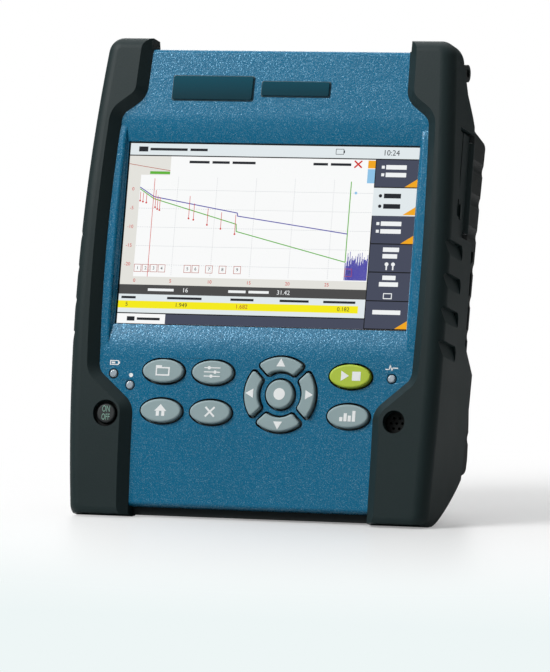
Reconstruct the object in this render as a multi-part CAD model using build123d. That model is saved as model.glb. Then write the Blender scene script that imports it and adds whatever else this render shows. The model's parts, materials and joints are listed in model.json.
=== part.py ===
from build123d import *
import os
from math import acos, atan2, cos, degrees, hypot, radians, sin, sqrt

# A handheld optical time domain reflectometer that leans back on its rear stand.
# Every piece is drawn upright: X to the right, Y from the screen to the back, Z up the front.
# The screen glass lies close to Y = 0 and the bumpers end at Z = 0. STANCE leans all pieces together.

# Overall form
LEAN = 13.4
HEIGHT = 171.0
SIDE_MARGIN = 15.0
WIDEST_Z = 75.0
SIDE_DRAW = 4.5
BOW_RADIUS = 900.0
BOW_Z = 95.0
PANEL_Y = -3.0
BUMPER_PROUD = 3.5
BUMPER_WALL = 7.0
BUMPER_CAP = 4.0
BUMPER_EDGE = 4.8
CONTOUR_R = 6.0
HEEL_Y = 8.0
HEEL_R = 100.0
HEEL_SLOPE = 30.0
FOOT_TRIM = 2.3
BELLY = 0.8
LAND_CUT = 0.4
BACK_Y = 30.0
PART_Y = 6.0
WALL = 2.2
FIT = 0.1
RUNNING = 0.05

# Screen
SCREEN_W = 108.0
SCREEN_H = 64.8
SCREEN_RIM = 0.5
SCOOP_RUN = 12.0
SCOOP_SIDE = 1.4
HEADER_PART = 25.6
CHIN_PART = 30.8
SCOOP_Y = -0.8
LIP_Y = 0.2
GASKET_T = 0.4
GLASS_T = 1.4
GLASS_MARGIN = 2.5
PANEL_T = 3.6

# Keys, measured from the screen centre; lamps, power key and speaker in from the panel's edge
KEY_W = 15.2
KEY_H = 8.3
KEY_GAP = 0.45
KEY_PROUD = 1.4
KEY_FLANGE = 0.8
KEY_FLANGE_T = 1.0
KEY_EDGE = 0.7
KEY_CORNER = 1.0
PLUNGER_R = 2.0
KEY_TRAVEL = 0.8
KEY_PLANE = 1.4
COLUMN_A = -33.7
COLUMN_B = -15.2
COLUMN_C = 35.8
PAD_X = 10.2
KEYPAD_SIDE = 10.6
ROW_1 = -49.6
ROW_2 = -63.6
RING_OUT = 13.1
RING_IN = 8.1
RING_BAR = 2.5
ENTER_R = 5.1
LAMP_R = 1.45
CHARGE_IN = 1.4
CHARGE_DROP = 50.9
ON_IN = 7.8
ON_DROP = 54.8
TESTING_IN = 3.2
TESTING_DROP = 50.0
POWER_IN = 0.5
POWER_DROP = 65.4
POWER_R = 3.5
POWER_HOLE_R = 4.7
SPEAKER_HOLE_R = 4.0
SPEAKER_R = 4.8
BOARD_T = 1.6

# Back of the instrument
REAR_INSET = 5.5
REAR_GAP = 0.2
REAR_WALL = 2.0
REAR_EDGE = 2.2
MODULE_TOP_DROP = 24.3
MODULE_SLANT = 3.2
MODULE_GROOVE_Y = 40.5
MODULE_GROOVE = 2.0
PIECE_GAP = 0.4
MODULE_DEEP_TOP = 48.0
MODULE_DEEP_LOW = 43.2
BATTERY_LOW = 24.0
BATTERY_TOP = 63.8
BATTERY_DEEP_TOP = 46.0
BATTERY_DEEP_LOW = 53.0
BATTERY_CORNER = 6.0
BATTERY_BULGE = 1.4
PACK_T = 9.6
SCREW_INSET = 9.0
SCREW_R = 1.5
SCREW_HEAD_R = 4.2
SCREW_HEAD_T = 2.6
BOSS_R = 6.6
BATTERY_BOSS_R = 5.2
BOARD_INSET = 13.5
BOARD_FOOT = 16.0
BOARD_HEAD = 13.0
POST_INSET = (6.0, 4.0)
POST_R = 2.5
LASER_SIZE = (18.0, 6.0, 22.0)
SPOOL_FILL = 0.42
SPOOL_SIDE = 8.0
SPOOL_T = 4.0

# Stand
STAND_HALF = 28.0
STAND_T = 4.0
STAND_HINGE = (45.0, 53.5)
STAND_KNEE = (44.8, 20.0)
STAND_TIP = (39.0, 9.5)
STAND_BARREL_R = 2.6
STAND_TIP_R = 2.2
STAND_PIN_R = 1.5
STAND_ROOM = 0.4
SHOE_LEN = 6.0

# Port doors and strap lugs
DOOR_DROP = 29.5
DOOR_LEN = 38.5
DOOR_FRONT = 5.5
DOOR_T = 2.4
DOOR_SINK = 1.0
DOOR_GAP = 0.35
DOOR_PIN_Y = 21.6
DOOR_PIN_R = 0.9
DOOR_KNUCKLE_R = 1.8
DOOR_EAR = 2.4
NOTCH_R = 3.2
SCOOP_PITCH = 11.9
SCOOP_COUNT = 4
SCOOP_UNDER_DOOR = 3.0
SCOOP_DEPTH = 1.6
SCOOP_H = 5.6
SCOOP_FRONT = -5.0
SCOOP_BACK = 12.0
LUG_Y = 14.9
LUG_Z_DROP = 8.6
LUG_R = 3.1
LUG_EYE_R = 1.5
LUG_T = 3.0

# Sizes that follow
EDGE_X = max(SCREEN_W / 2, COLUMN_C + KEY_W / 2 + KEYPAD_SIDE)
HALF_WIDTH = EDGE_X + SIDE_MARGIN
CORE_HALF = HALF_WIDTH - BUMPER_WALL
SIDE_RADIUS = ((HEIGHT - WIDEST_Z) ** 2 + SIDE_DRAW**2) / (2 * SIDE_DRAW)
CORE_LOW = BUMPER_CAP - 0.5
CORE_TOP = HEIGHT - BUMPER_CAP
WINDOW_W = SCREEN_W + 2 * SCREEN_RIM
WINDOW_H = SCREEN_H + 2 * SCREEN_RIM
PAD_ROW = (ROW_1 + ROW_2) / 2
SPARE_H = HEIGHT - WINDOW_H / 2 - SCOOP_RUN + PAD_ROW - RING_OUT
HEADER_H = SPARE_H * HEADER_PART / (HEADER_PART + CHIN_PART)
SCREEN_Z = HEIGHT - HEADER_H - SCOOP_RUN - WINDOW_H / 2
CHARGE_AT = (CHARGE_IN - EDGE_X, -CHARGE_DROP)
ON_AT = (ON_IN - EDGE_X, -ON_DROP)
TESTING_AT = (EDGE_X - TESTING_IN, -TESTING_DROP)
POWER_AT = (POWER_IN - EDGE_X, -POWER_DROP)
SPEAKER_AT = (EDGE_X - POWER_IN, -POWER_DROP)
REAR_HALF = HALF_WIDTH - REAR_INSET
SCREW_X = REAR_HALF - SCREW_INSET
MODULE_TOP = HEIGHT - MODULE_TOP_DROP
MODULE_LOW = BATTERY_TOP + PIECE_GAP
PLATE_Y = BACK_Y + REAR_GAP
HEEL_MID_Y = HEEL_Y - HEEL_R * sin(radians(HEEL_SLOPE))
HEEL_MID_Z = HEEL_R * cos(radians(HEEL_SLOPE))
BUMPER_BACK = BACK_Y - 8.0
HEEL_BACK = BACK_Y + 3.0
GLASS_W = SCREEN_W + 2 * GLASS_MARGIN
GLASS_H = SCREEN_H + 2 * GLASS_MARGIN
GLASS_Y = LIP_Y + GASKET_T
DISPLAY_Y = GLASS_Y + GLASS_T
FLANGE_Y = KEY_PLANE + FIT
PLUNGER_Y = FLANGE_Y + KEY_FLANGE_T + 0.9
SWITCH_Y = PLUNGER_Y + KEY_TRAVEL + 0.2
KEY_BOARD_Y = SWITCH_Y + 0.8
MAIN_BOARD_Y = PART_Y + 7.0
SOCKET_Y = MAIN_BOARD_Y + BOARD_T
STAND_FLOOR_Y = STAND_HINGE[0] - STAND_BARREL_R - STAND_ROOM
FOOT_INNER = EDGE_X - 9.6
HEAD_INNER = EDGE_X - 5.4
PAD_Z = SCREEN_Z + PAD_ROW
KEYS_LOW = PAD_Z - RING_OUT - KEY_FLANGE - 0.5
LUG_Z = HEIGHT - LUG_Z_DROP
DOOR_PIN_X = CORE_HALF + 3.4
DOOR_HIGH = HEIGHT - DOOR_DROP
DOOR_LOW = DOOR_HIGH - DOOR_LEN
DOOR_MID = (DOOR_LOW + DOOR_HIGH) / 2
TAB_Z = DOOR_MID - DOOR_LEN / 4
SCOOP_TOP_Z = DOOR_LOW - SCOOP_UNDER_DOOR


def slab(outline, front, back):
    """Prism of an outline seen from the front, between two depths."""
    return extrude(Plane.XZ.offset(-front) * outline, amount=front - back)


def bar(profile, left, right):
    """Prism of a profile seen from the side, Y across and Z up, between two widths."""
    return extrude(Plane.YZ.offset(left) * profile, amount=right - left)


def block(x, y, z):
    """Box given by its low and high limits on each axis."""
    size = Box(x[1] - x[0], y[1] - y[0], z[1] - z[0])
    return Pos((x[0] + x[1]) / 2, (y[0] + y[1]) / 2, (z[0] + z[1]) / 2) * size


def rod(x, z, radius, front, back):
    """Cylinder along Y."""
    return slab(Pos(x, z) * Circle(radius), front, back)


def cross_rod(y, z, radius, left, right):
    """Cylinder along X."""
    return bar(Pos(y, z) * Circle(radius), left, right)


def bow(z, proud=0.0):
    """Depth of the bowed front at a height."""
    radius = BOW_RADIUS + proud
    return PANEL_Y + BOW_RADIUS - sqrt(radius**2 - (z - BOW_Z) ** 2)


def side_x(z):
    """Half width of the bowed bumper side at a height."""
    return HALF_WIDTH - SIDE_RADIUS + sqrt(SIDE_RADIUS**2 - (z - WIDEST_Z) ** 2)


def heel_z(y, inset=0.0):
    """Height of the rounded heel at a depth."""
    return HEEL_MID_Z - sqrt((HEEL_R - inset) ** 2 - (y - HEEL_MID_Y) ** 2)


def heel_start(inset=0.0):
    """Depth at which the heel leaves the flat bottom."""
    return HEEL_MID_Y + sqrt((HEEL_R - inset) ** 2 - (HEEL_MID_Z - inset) ** 2)


def heel_arc(back, inset=0.0):
    """Arc of the heel from the flat bottom to a depth."""
    start = heel_start(inset)
    middle = (start + back) / 2
    return ThreePointArc((start, inset), (middle, heel_z(middle, inset)), (back, heel_z(back, inset)))


def front_arc(low, high, proud=0.0):
    """Bowed front edge of a side profile, from the top down."""
    return ThreePointArc((bow(high, proud), high), (PANEL_Y - proud, BOW_Z), (bow(low, proud), low))


def core_profile():
    """Side profile of the closed housing under the bumpers."""
    shoulder = MODULE_TOP + 5.5
    return make_face(
        [
            front_arc(CORE_LOW, CORE_TOP),
            Line((bow(CORE_LOW), CORE_LOW), (heel_start(CORE_LOW), CORE_LOW)),
            heel_arc(BACK_Y, CORE_LOW),
            Polyline(
                (BACK_Y, heel_z(BACK_Y, CORE_LOW)),
                (BACK_Y, shoulder),
                (BACK_Y - 5.0, shoulder + 6.0),
                (BACK_Y - 13.0, CORE_TOP),
                (bow(CORE_TOP), CORE_TOP),
            ),
        ]
    )


def core():
    """Closed housing, with its front edges rounded."""
    solid = bar(core_profile(), -CORE_HALF, CORE_HALF)
    edges = [e for e in solid.edges().filter_by(Axis.X) if e.center().Y < PART_Y - 1.0]
    return fillet(edges, 1.6)


def at_screen(point):
    """Turn an offset from the screen centre into a place on the front."""
    return point[0], SCREEN_Z + point[1]


KEY_PLACES = {
    "file_key": (COLUMN_A, ROW_1),
    "setup_key": (COLUMN_B, ROW_1),
    "home_key": (COLUMN_A, ROW_2),
    "cancel_key": (COLUMN_B, ROW_2),
    "start_key": (COLUMN_C, ROW_1),
    "results_key": (COLUMN_C, ROW_2),
}
RING_TURNS = {"right_key": 0, "up_key": 90, "left_key": 180, "down_key": 270}
LAMP_PLACES = {"charge_lamp": CHARGE_AT, "on_lamp": ON_AT, "testing_lamp": TESTING_AT}
POST_PLACES = (
    ((COLUMN_A + COLUMN_B) / 2, PAD_Z),
    (PAD_X + RING_OUT + 3.0, PAD_Z),
    (COLUMN_A - 12.3, SCREEN_Z + ROW_2),
    (COLUMN_C + 10.7, PAD_Z),
)


def oval(place, grow):
    """Outline of an oval key."""
    x, z = at_screen(place)
    return Pos(x, z) * Ellipse(KEY_W / 2 + grow, KEY_H / 2 + grow)


def ring_sector(turn, grow):
    """Outline of one of the four arrow keys around the enter key."""
    strip = Rectangle(4 * RING_OUT, RING_BAR - 2 * grow)
    ring = Circle(RING_OUT + grow) - Circle(RING_IN - grow) - Rot(0, 0, 45) * strip - Rot(0, 0, -45) * strip
    sector = Sketch() + ring.faces().sort_by(Axis.X)[-1]
    sector = fillet(sector.vertices(), KEY_CORNER + grow / 2)
    return Pos(PAD_X, PAD_Z) * (Rot(0, 0, turn) * sector)


def key(outline, x, z):
    """Key cap with a hidden flange and a plunger over its switch."""
    top = bow(z) - KEY_PROUD
    cap = slab(outline(0), top, FLANGE_Y)
    cap = fillet(cap.faces().sort_by(Axis.Y)[0].edges(), KEY_EDGE)
    flange = slab(outline(KEY_FLANGE), FLANGE_Y, FLANGE_Y + KEY_FLANGE_T)
    return cap + flange + rod(x, z, PLUNGER_R, FLANGE_Y + KEY_FLANGE_T, PLUNGER_Y)


def key_outlines():
    """Every front key with its outline and the place of its plunger."""
    keys = {}
    for name, place in KEY_PLACES.items():
        keys[name] = (lambda grow, place=place: oval(place, grow), *at_screen(place))
    middle = (RING_OUT + RING_IN) / 2
    for name, turn in RING_TURNS.items():
        x = PAD_X + middle * cos(radians(turn))
        z = PAD_Z + middle * sin(radians(turn))
        keys[name] = (lambda grow, turn=turn: ring_sector(turn, grow), x, z)
    keys["enter_key"] = (lambda grow: Pos(PAD_X, PAD_Z) * Circle(ENTER_R + grow), PAD_X, PAD_Z)
    return keys


def power_key():
    """Round power key that stands in the left bumper."""
    x, z = at_screen(POWER_AT)
    top = bow(z, BUMPER_PROUD) + 0.4
    cap = fillet(rod(x, z, POWER_R, top, FLANGE_Y).faces().sort_by(Axis.Y)[0].edges(), KEY_EDGE)
    flange = rod(x, z, POWER_R + KEY_FLANGE, FLANGE_Y, FLANGE_Y + KEY_FLANGE_T)
    return cap + flange + rod(x, z, PLUNGER_R, FLANGE_Y + KEY_FLANGE_T, PLUNGER_Y)


def power_collar():
    """Dark ring round the foot of the power key."""
    x, z = at_screen(POWER_AT)
    seat = bow(z) - 0.1
    ring = rod(x, z, POWER_HOLE_R - FIT, seat - 1.6, seat) - rod(x, z, POWER_R + 0.3, seat - 2, seat + 1)
    return ring - core()


def screen_rect(width, height):
    """Rectangle round the screen centre."""
    return Pos(0, SCREEN_Z) * Rectangle(width, height)


def screen_scoop():
    """Sloping recess round the screen opening."""
    run = SCOOP_RUN
    depth = SCOOP_Y - PANEL_Y + 0.2
    outer = screen_rect(WINDOW_W + 2 * SCOOP_SIDE, WINDOW_H + 2 * run)
    inner = screen_rect(WINDOW_W + 0.4, WINDOW_H)
    front = Plane.XZ.offset(-(SCOOP_Y - depth)) * outer
    back = Plane.XZ.offset(-SCOOP_Y) * inner
    return loft([front.face(), back.face()], ruled=True)


def front_cover():
    """Blue front cover with the screen opening and the holes for keys and lamps."""
    cover = core() & block((-HEIGHT, HEIGHT), (-20, PART_Y), (-1, HEIGHT))
    inside = CORE_HALF - WALL
    behind = PART_Y + 1
    cover -= screen_scoop()
    cover -= slab(screen_rect(WINDOW_W, WINDOW_H), PANEL_Y - 1, behind)
    cover -= slab(screen_rect(GLASS_W + 2 * FIT, GLASS_H + 2 * FIT), LIP_Y, behind)
    cover -= block((-inside, inside), (KEY_PLANE, behind), (KEYS_LOW, CORE_TOP - 6.5))
    chin = bow(CORE_LOW) + WALL
    cover -= block((-inside, inside), (chin, behind), (CORE_LOW + 2 * WALL, KEYS_LOW - WALL))
    for outline, x, z in key_outlines().values():
        cover -= slab(outline(KEY_GAP), PANEL_Y - 1, behind)
    for place in LAMP_PLACES.values():
        x, z = at_screen(place)
        face = bow(z)
        cover -= rod(x, z, LAMP_R + FIT, face - 1, behind)
        cover -= Pos(x, face + 0.1, z) * (Rot(90, 0, 0) * Cone(LAMP_R, LAMP_R + 1.0, 1.0))
    cover -= rod(*at_screen(POWER_AT), POWER_R + 0.3, PANEL_Y - 1, behind)
    cover -= rod(*at_screen(SPEAKER_AT), SPEAKER_HOLE_R - FIT, PANEL_Y - 1, behind)
    for x, z in POST_PLACES:
        cover += rod(x, z, 1.5, KEY_PLANE, KEY_BOARD_Y)
    return cover


def lamp(place):
    """Domed lamp lens that carries light from the keypad board."""
    x, z = at_screen(place)
    face = bow(z)
    lens = rod(x, z, LAMP_R, face - 0.5, KEY_BOARD_Y)
    lens = fillet(lens.faces().sort_by(Axis.Y)[0].edges(), 0.6)
    return lens + rod(x, z, LAMP_R + 0.6, FLANGE_Y, FLANGE_Y + 0.8)


def speaker_grille():
    """Perforated cup at the bottom of the speaker opening."""
    x, z = at_screen(SPEAKER_AT)
    face = bow(z) + 0.2
    cup = rod(x, z, SPEAKER_HOLE_R - 2 * FIT, face, KEY_PLANE)
    cup += rod(x, z, SPEAKER_R, KEY_PLANE, KEY_PLANE + 0.6)
    for turn in range(0, 360, 60):
        cup -= rod(x + 2.1 * cos(radians(turn)), z + 2.1 * sin(radians(turn)), 0.5, face - 1, KEY_PLANE + 1)
    return cup - rod(x, z, 0.5, face - 1, KEY_PLANE + 1)


def keypad_board():
    """Board behind the keys, cut away for the speaker."""
    outline = Pos(0, PAD_Z) * Rectangle(2 * (CORE_HALF - 2 * WALL), 2 * (PAD_Z - KEYS_LOW) - 1.0)
    x, z = at_screen(SPEAKER_AT)
    room = SPEAKER_R + 1.2
    outline -= Pos(x + 4, z - 4) * Rectangle(2 * room + 8, 2 * room + 8)
    return slab(outline, KEY_BOARD_Y, KEY_BOARD_Y + BOARD_T)


def key_switches():
    """Dome switches on the keypad board, one under each plunger."""
    places = [(x, z) for _, x, z in key_outlines().values()] + [at_screen(POWER_AT)]
    return Compound([rod(x, z, PLUNGER_R + 0.2, SWITCH_Y, KEY_BOARD_Y) for x, z in places])


def contour(offset_by):
    """Opening between the bumpers, right half, at the depth of the panel crown plus an offset."""
    mid = EDGE_X + 4.6
    shift = BUMPER_PROUD
    top = SCREEN_Z + SCREEN_H / 2 + 10.0
    low = SCREEN_Z + ROW_1
    face = make_face(
        Polyline(
            (-20, -20),
            (mid - 9.7, -20),
            (mid - 9.7, CORE_LOW),
            (mid - 12.2, low - 12.4),
            (mid + 0.5, low - 0.6),
            (mid - 0.1, top + 0.4),
            (mid - 8.4, top + 7.2),
            (mid - 6.8, CORE_TOP + shift + 20),
            (-20, CORE_TOP + shift + 20),
            close=True,
        )
    )
    if offset_by:
        face = offset(face, amount=offset_by, kind=Kind.INTERSECTION)
    corners = face.vertices().filter_by(lambda v: v.X > 0 and CORE_LOW + 9 < v.Y < CORE_TOP).sort_by(Axis.Y)
    face = fillet(corners[1:3], CONTOUR_R + offset_by)
    inner = face.vertices().filter_by(lambda v: v.X > 0 and CORE_LOW + 9 < v.Y < CORE_TOP).sort_by(Axis.Y)
    return fillet([inner[0], inner[-1]], CONTOUR_R - offset_by)


def bevel_tool():
    """Cutter for the bevelled inner edge of a bumper."""
    run = BUMPER_PROUD + 1.2
    behind = Plane.XZ.offset(-(PANEL_Y + 5.0)) * contour(-5.0)
    front = Plane.XZ.offset(-(PANEL_Y - run)) * contour(run)
    return loft([behind.face(), front.face()], ruled=True)


def bumper_profile():
    """Side profile of a bumper."""
    step = BATTERY_TOP - 6.0
    return make_face(
        [
            front_arc(0, HEIGHT, BUMPER_PROUD),
            Line((bow(0, BUMPER_PROUD), 0), (HEEL_Y, 0)),
            heel_arc(HEEL_BACK),
            Polyline(
                (HEEL_BACK, heel_z(HEEL_BACK)),
                (HEEL_BACK, step),
                (BUMPER_BACK, step + 9.0),
                (BUMPER_BACK, MODULE_TOP - 2.0),
                (BUMPER_BACK - 2.0, MODULE_TOP + 1.0),
                (BUMPER_BACK - 8.0, MODULE_TOP + 8.0),
                (BUMPER_BACK - 15.0, HEIGHT),
                (bow(HEIGHT, BUMPER_PROUD), HEIGHT),
            ),
        ]
    )


def front_block():
    """Side profile behind the bowed front, past the bumper's outline at both ends."""
    low = -FOOT_TRIM - 1.0
    top = HEIGHT + 1.0
    back = HEEL_BACK + 1.0
    return make_face(
        [
            front_arc(low, top, BUMPER_PROUD),
            Polyline((bow(low, BUMPER_PROUD), low), (back, low), (back, top), (bow(top, BUMPER_PROUD), top)),
        ]
    )


def bumper_blank():
    """Bumper before its hollows, with the outer edges rounded and the foot trimmed to a crisp edge."""
    low = -FOOT_TRIM
    inner = SCREEN_W / 3
    outline = make_face(
        [
            Polyline((side_x(low), low), (inner, low), (inner, HEIGHT), (side_x(HEIGHT), HEIGHT)),
            ThreePointArc((side_x(HEIGHT), HEIGHT), (HALF_WIDTH, WIDEST_Z), (side_x(low), low)),
        ]
    )
    corners = [v for v in outline.vertices() if v.X > inner + 1]
    outline = fillet(corners, BUMPER_EDGE + 1.0)
    blank = slab(outline, -20, HEEL_BACK + 1) & bar(front_block(), SCREEN_W / 3 - 1, HALF_WIDTH + 1)
    front = blank.faces().sort_by(Axis.Y)[0]
    rim = [e for e in front.edges() if e.center().X > SCREEN_W / 3 + 0.5]
    return fillet(rim, BUMPER_EDGE) & bar(bumper_profile(), SCREEN_W / 3 - 1, HALF_WIDTH + 1)


def grip_scoop(index):
    """Cutter for one grip scoop: steep at the top, fading out below, with round ends."""
    top = SCOOP_TOP_Z - index * SCOOP_PITCH
    low = top - SCOOP_H
    skin = side_x(top) + 0.1
    fade = (side_x(low) + 0.1, low)
    deep = skin - SCOOP_DEPTH
    face = make_face(Polyline((skin + 3, top + 0.6), (deep, top), fade, (skin + 3, low), close=True))
    middle = Pos((SCOOP_FRONT + SCOOP_BACK) / 2, top - SCOOP_H / 2)
    shape = middle * RectangleRounded(SCOOP_BACK - SCOOP_FRONT, SCOOP_H + 1.0, SCOOP_H / 2)
    return slab(face, SCOOP_FRONT, SCOOP_BACK) & bar(shape, deep - 1, skin + 4)


def bumper():
    """Right rubber bumper."""
    solid = bumper_blank() - bevel_tool()
    shell = core_profile()
    solid -= bar(shell, 0, CORE_HALF + FIT)
    solid -= block((0, FOOT_INNER), (-20, HEIGHT), (-1, BATTERY_LOW))
    solid -= block((0, HEAD_INNER), (-20, HEIGHT), (CORE_TOP - FIT, HEIGHT + 1))
    solid -= block((0, REAR_HALF + FIT), (PLATE_Y - FIT, HEIGHT), (-1, HEIGHT))
    solid -= block((0, CORE_HALF + FIT), (BACK_Y - WALL, HEIGHT), (-1, HEIGHT + 1))
    solid -= block((CORE_HALF - 1, HALF_WIDTH + 5), (DOOR_FRONT, HEIGHT), (DOOR_LOW, DOOR_HIGH))
    solid -= cross_rod(DOOR_FRONT - 0.6, TAB_Z, NOTCH_R, DOOR_PIN_X - 0.4, HALF_WIDTH + 5)
    for index in range(SCOOP_COUNT):
        solid -= grip_scoop(index)
    solid -= bar(lug_outline(FIT), CORE_HALF - 1, CORE_HALF + LUG_T + 2 * FIT)
    return solid


def left_bumper():
    """Left bumper, with the hole for the power key."""
    return mirror(bumper(), about=Plane.YZ) - rod(*at_screen(POWER_AT), POWER_HOLE_R, -20, PART_Y)


def right_bumper():
    """Right bumper, with the speaker opening."""
    return bumper() - rod(*at_screen(SPEAKER_AT), SPEAKER_HOLE_R, -20, PART_Y)


def lug_outline(grow):
    """Side outline of a strap lug with the tail that the bumper covers."""
    tail = Pos(LUG_Y - 5.0, LUG_Z) * Rectangle(10.0 + 2 * grow, 4.4 + 2 * grow)
    return tail + Pos(LUG_Y, LUG_Z) * Circle(LUG_R + grow)


def strap_lugs():
    """Pair of strap lugs on the sides of the rear cover."""
    lug = bar(lug_outline(0) - Pos(LUG_Y, LUG_Z) * Circle(LUG_EYE_R), CORE_HALF, CORE_HALF + LUG_T)
    return Compound([lug, mirror(lug, about=Plane.YZ)])


def door_window(low, high, y0, y1):
    """Opening through the side wall of the rear cover for a socket."""
    return block((CORE_HALF - 2 * WALL, CORE_HALF + 1), (y0, y1), (low, high))


USB_W = 13.2
USB_H = 5.8
USB_DEEP = 14.0
USB_MOUTH = 10.0
USB_PITCH = 19.0
USB_AT = (DOOR_MID - USB_PITCH / 2, DOOR_MID + USB_PITCH / 2)
DC_R = 3.6
DC_DEEP = 11.0
DC_MOUTH = 9.0
DC_AT = DOOR_MID
DC_Y = SOCKET_Y + DC_R + 0.4
MAIN_POSTS = (CORE_LOW + 20.0, CORE_TOP - 22.0)


def screw_holes(z, radius, front, back):
    """Pair of holes along Y, left and right."""
    return rod(-SCREW_X, z, radius, front, back) + rod(SCREW_X, z, radius, front, back)


MODULE_SCREW_Z = MODULE_LOW + 9.0
BATTERY_SCREW_Z = (BATTERY_LOW + BATTERY_TOP) / 2


def belly():
    """Skid of the rear cover that fills the heel between the bumper feet."""
    front = PART_Y - 1.0
    high = BATTERY_TOP
    profile = make_face(
        [
            heel_arc(BACK_Y, BELLY),
            Polyline(
                (BACK_Y, heel_z(BACK_Y, BELLY)),
                (BACK_Y, high),
                (front, high),
                (front, BELLY),
                (heel_start(BELLY), BELLY),
            ),
        ]
    )
    inner = bar(offset(core_profile(), amount=-WALL / 2), -HALF_WIDTH, HALF_WIDTH)
    return bar(profile, -FOOT_INNER + FIT, FOOT_INNER - FIT) - inner


def rear_cover():
    """Rear cover: hollow shell with board posts, screw bosses, socket windows and door ears."""
    behind = block((-HEIGHT, HEIGHT), (PART_Y, HEIGHT), (-1, HEIGHT))
    shell = bar(core_profile(), -CORE_HALF, CORE_HALF)
    inside = CORE_HALF - WALL
    shell -= bar(offset(core_profile(), amount=-WALL), -inside, inside)
    cover = (shell + belly()) & behind
    wall = BACK_Y - WALL
    for z in MAIN_POSTS:
        for x in (-SCREW_X + 4, SCREW_X - 4):
            cover += rod(x, z, 3.0, SOCKET_Y, wall)
    for z in (MODULE_SCREW_Z, BATTERY_SCREW_Z):
        cover += screw_holes(z, 3.4, wall - 6, wall)
        cover -= screw_holes(z, SCREW_R + RUNNING, wall - 5, BACK_Y + 1)
    for z in USB_AT:
        half = USB_W / 2 + FIT
        cover -= door_window(z - half, z + half, SOCKET_Y - FIT, SOCKET_Y + USB_H + FIT)
    cover -= cross_rod(DC_Y, DC_AT, DC_R + FIT, -CORE_HALF - 1, -inside + 1)
    ear = door_ears()
    return cover + ear + mirror(ear, about=Plane.YZ)


def door_ears():
    """Two ears on the side wall that hold a door pin."""
    ears = Part()
    for low in (DOOR_LOW + DOOR_GAP, DOOR_HIGH - DOOR_GAP - DOOR_EAR):
        shape = Pos(DOOR_PIN_X, DOOR_PIN_Y) * Circle(DOOR_KNUCKLE_R - 0.1)
        middle = Pos((CORE_HALF + DOOR_PIN_X) / 2, DOOR_PIN_Y)
        web = middle * Rectangle(DOOR_PIN_X - CORE_HALF, 2 * DOOR_KNUCKLE_R - 0.2)
        flat = shape + web - Pos(DOOR_PIN_X, DOOR_PIN_Y) * Circle(DOOR_PIN_R + 0.01)
        ears += extrude(Plane.XY.offset(low) * flat, amount=DOOR_EAR)
    return ears


def port_door():
    """Right port door with its knuckle, finger tab and groove."""
    low = DOOR_LOW + DOOR_GAP
    high = DOOR_HIGH - DOOR_GAP
    outer = side_x(DOOR_HIGH) - DOOR_SINK
    plate = block((outer - DOOR_T, outer), (DOOR_FRONT + DOOR_GAP, DOOR_PIN_Y), (low, high))
    plate = fillet(plate.faces().sort_by(Axis.X)[-1].edges().sort_by(Axis.Y)[:-1], 0.8)
    ear = DOOR_EAR + DOOR_GAP
    for z in ((low - 1, low + ear), (high - ear, high + 1)):
        plate -= block((CORE_HALF, HALF_WIDTH + 5), (DOOR_PIN_Y - DOOR_KNUCKLE_R - 0.6, HEIGHT), z)
    groove = DOOR_FRONT + 6.0
    plate -= block((outer - 0.7, outer + 1), (groove, groove + 0.9), (low - 1, high + 1))
    plate += block((outer - 0.3, outer + 0.7), (groove + 1.4, groove + 3.4), (TAB_Z - 2.6, TAB_Z + 2.6))
    knuckle = Pos(DOOR_PIN_X, DOOR_PIN_Y) * Circle(DOOR_KNUCKLE_R)
    length = high - low - 2 * ear
    plate += extrude(Plane.XY.offset(low + ear) * knuckle, amount=length)
    hole = Pos(DOOR_PIN_X, DOOR_PIN_Y) * Circle(DOOR_PIN_R + RUNNING)
    return plate - extrude(Plane.XY.offset(low - 1) * hole, amount=high - low + 2)


def door_pin():
    """Steel pin of the right port door."""
    low = DOOR_LOW + DOOR_GAP
    shape = Pos(DOOR_PIN_X, DOOR_PIN_Y) * Circle(DOOR_PIN_R)
    return extrude(Plane.XY.offset(low) * shape, amount=DOOR_HIGH - DOOR_LOW - 2 * DOOR_GAP)


def door_pins():
    """Pins of both port doors."""
    return Compound([door_pin(), mirror(door_pin(), about=Plane.YZ)])


def usb_sockets():
    """Shells of the two USB sockets behind the right door."""
    sockets = []
    for z in USB_AT:
        x = (CORE_HALF - USB_DEEP, CORE_HALF)
        body = block(x, (SOCKET_Y, SOCKET_Y + USB_H), (z - USB_W / 2, z + USB_W / 2))
        mouth = block(
            (CORE_HALF - USB_MOUTH, CORE_HALF + 1),
            (SOCKET_Y + 0.5, SOCKET_Y + USB_H - 0.5),
            (z - USB_W / 2 + 0.5, z + USB_W / 2 - 0.5),
        )
        sockets.append(body - mouth)
    return Compound(sockets)


def usb_tongues():
    """Contact tongues that stand on the floors of the USB sockets."""
    tongues = []
    for z in USB_AT:
        tongue = block(
            (CORE_HALF - USB_MOUTH, CORE_HALF - 1.5),
            (SOCKET_Y + 0.9, SOCKET_Y + 2.7),
            (z - USB_W / 2 + 1.0, z + USB_W / 2 - 1.0),
        )
        tongues.append(tongue)
    return Compound(tongues)


def dc_socket():
    """Barrel of the charger socket behind the left door."""
    inner = DC_DEEP - CORE_HALF
    body = cross_rod(DC_Y, DC_AT, DC_R, -CORE_HALF, inner)
    body += block((-CORE_HALF + WALL + 0.6, inner), (SOCKET_Y, DC_Y), (DC_AT - DC_R, DC_AT + DC_R))
    return body - cross_rod(DC_Y, DC_AT, DC_R - 0.9, -CORE_HALF - 1, DC_MOUTH - CORE_HALF)


def dc_pin():
    """Centre pin on the floor of the charger socket."""
    return cross_rod(DC_Y, DC_AT, 1.0, 1.5 - CORE_HALF, DC_MOUTH - CORE_HALF)


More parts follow.
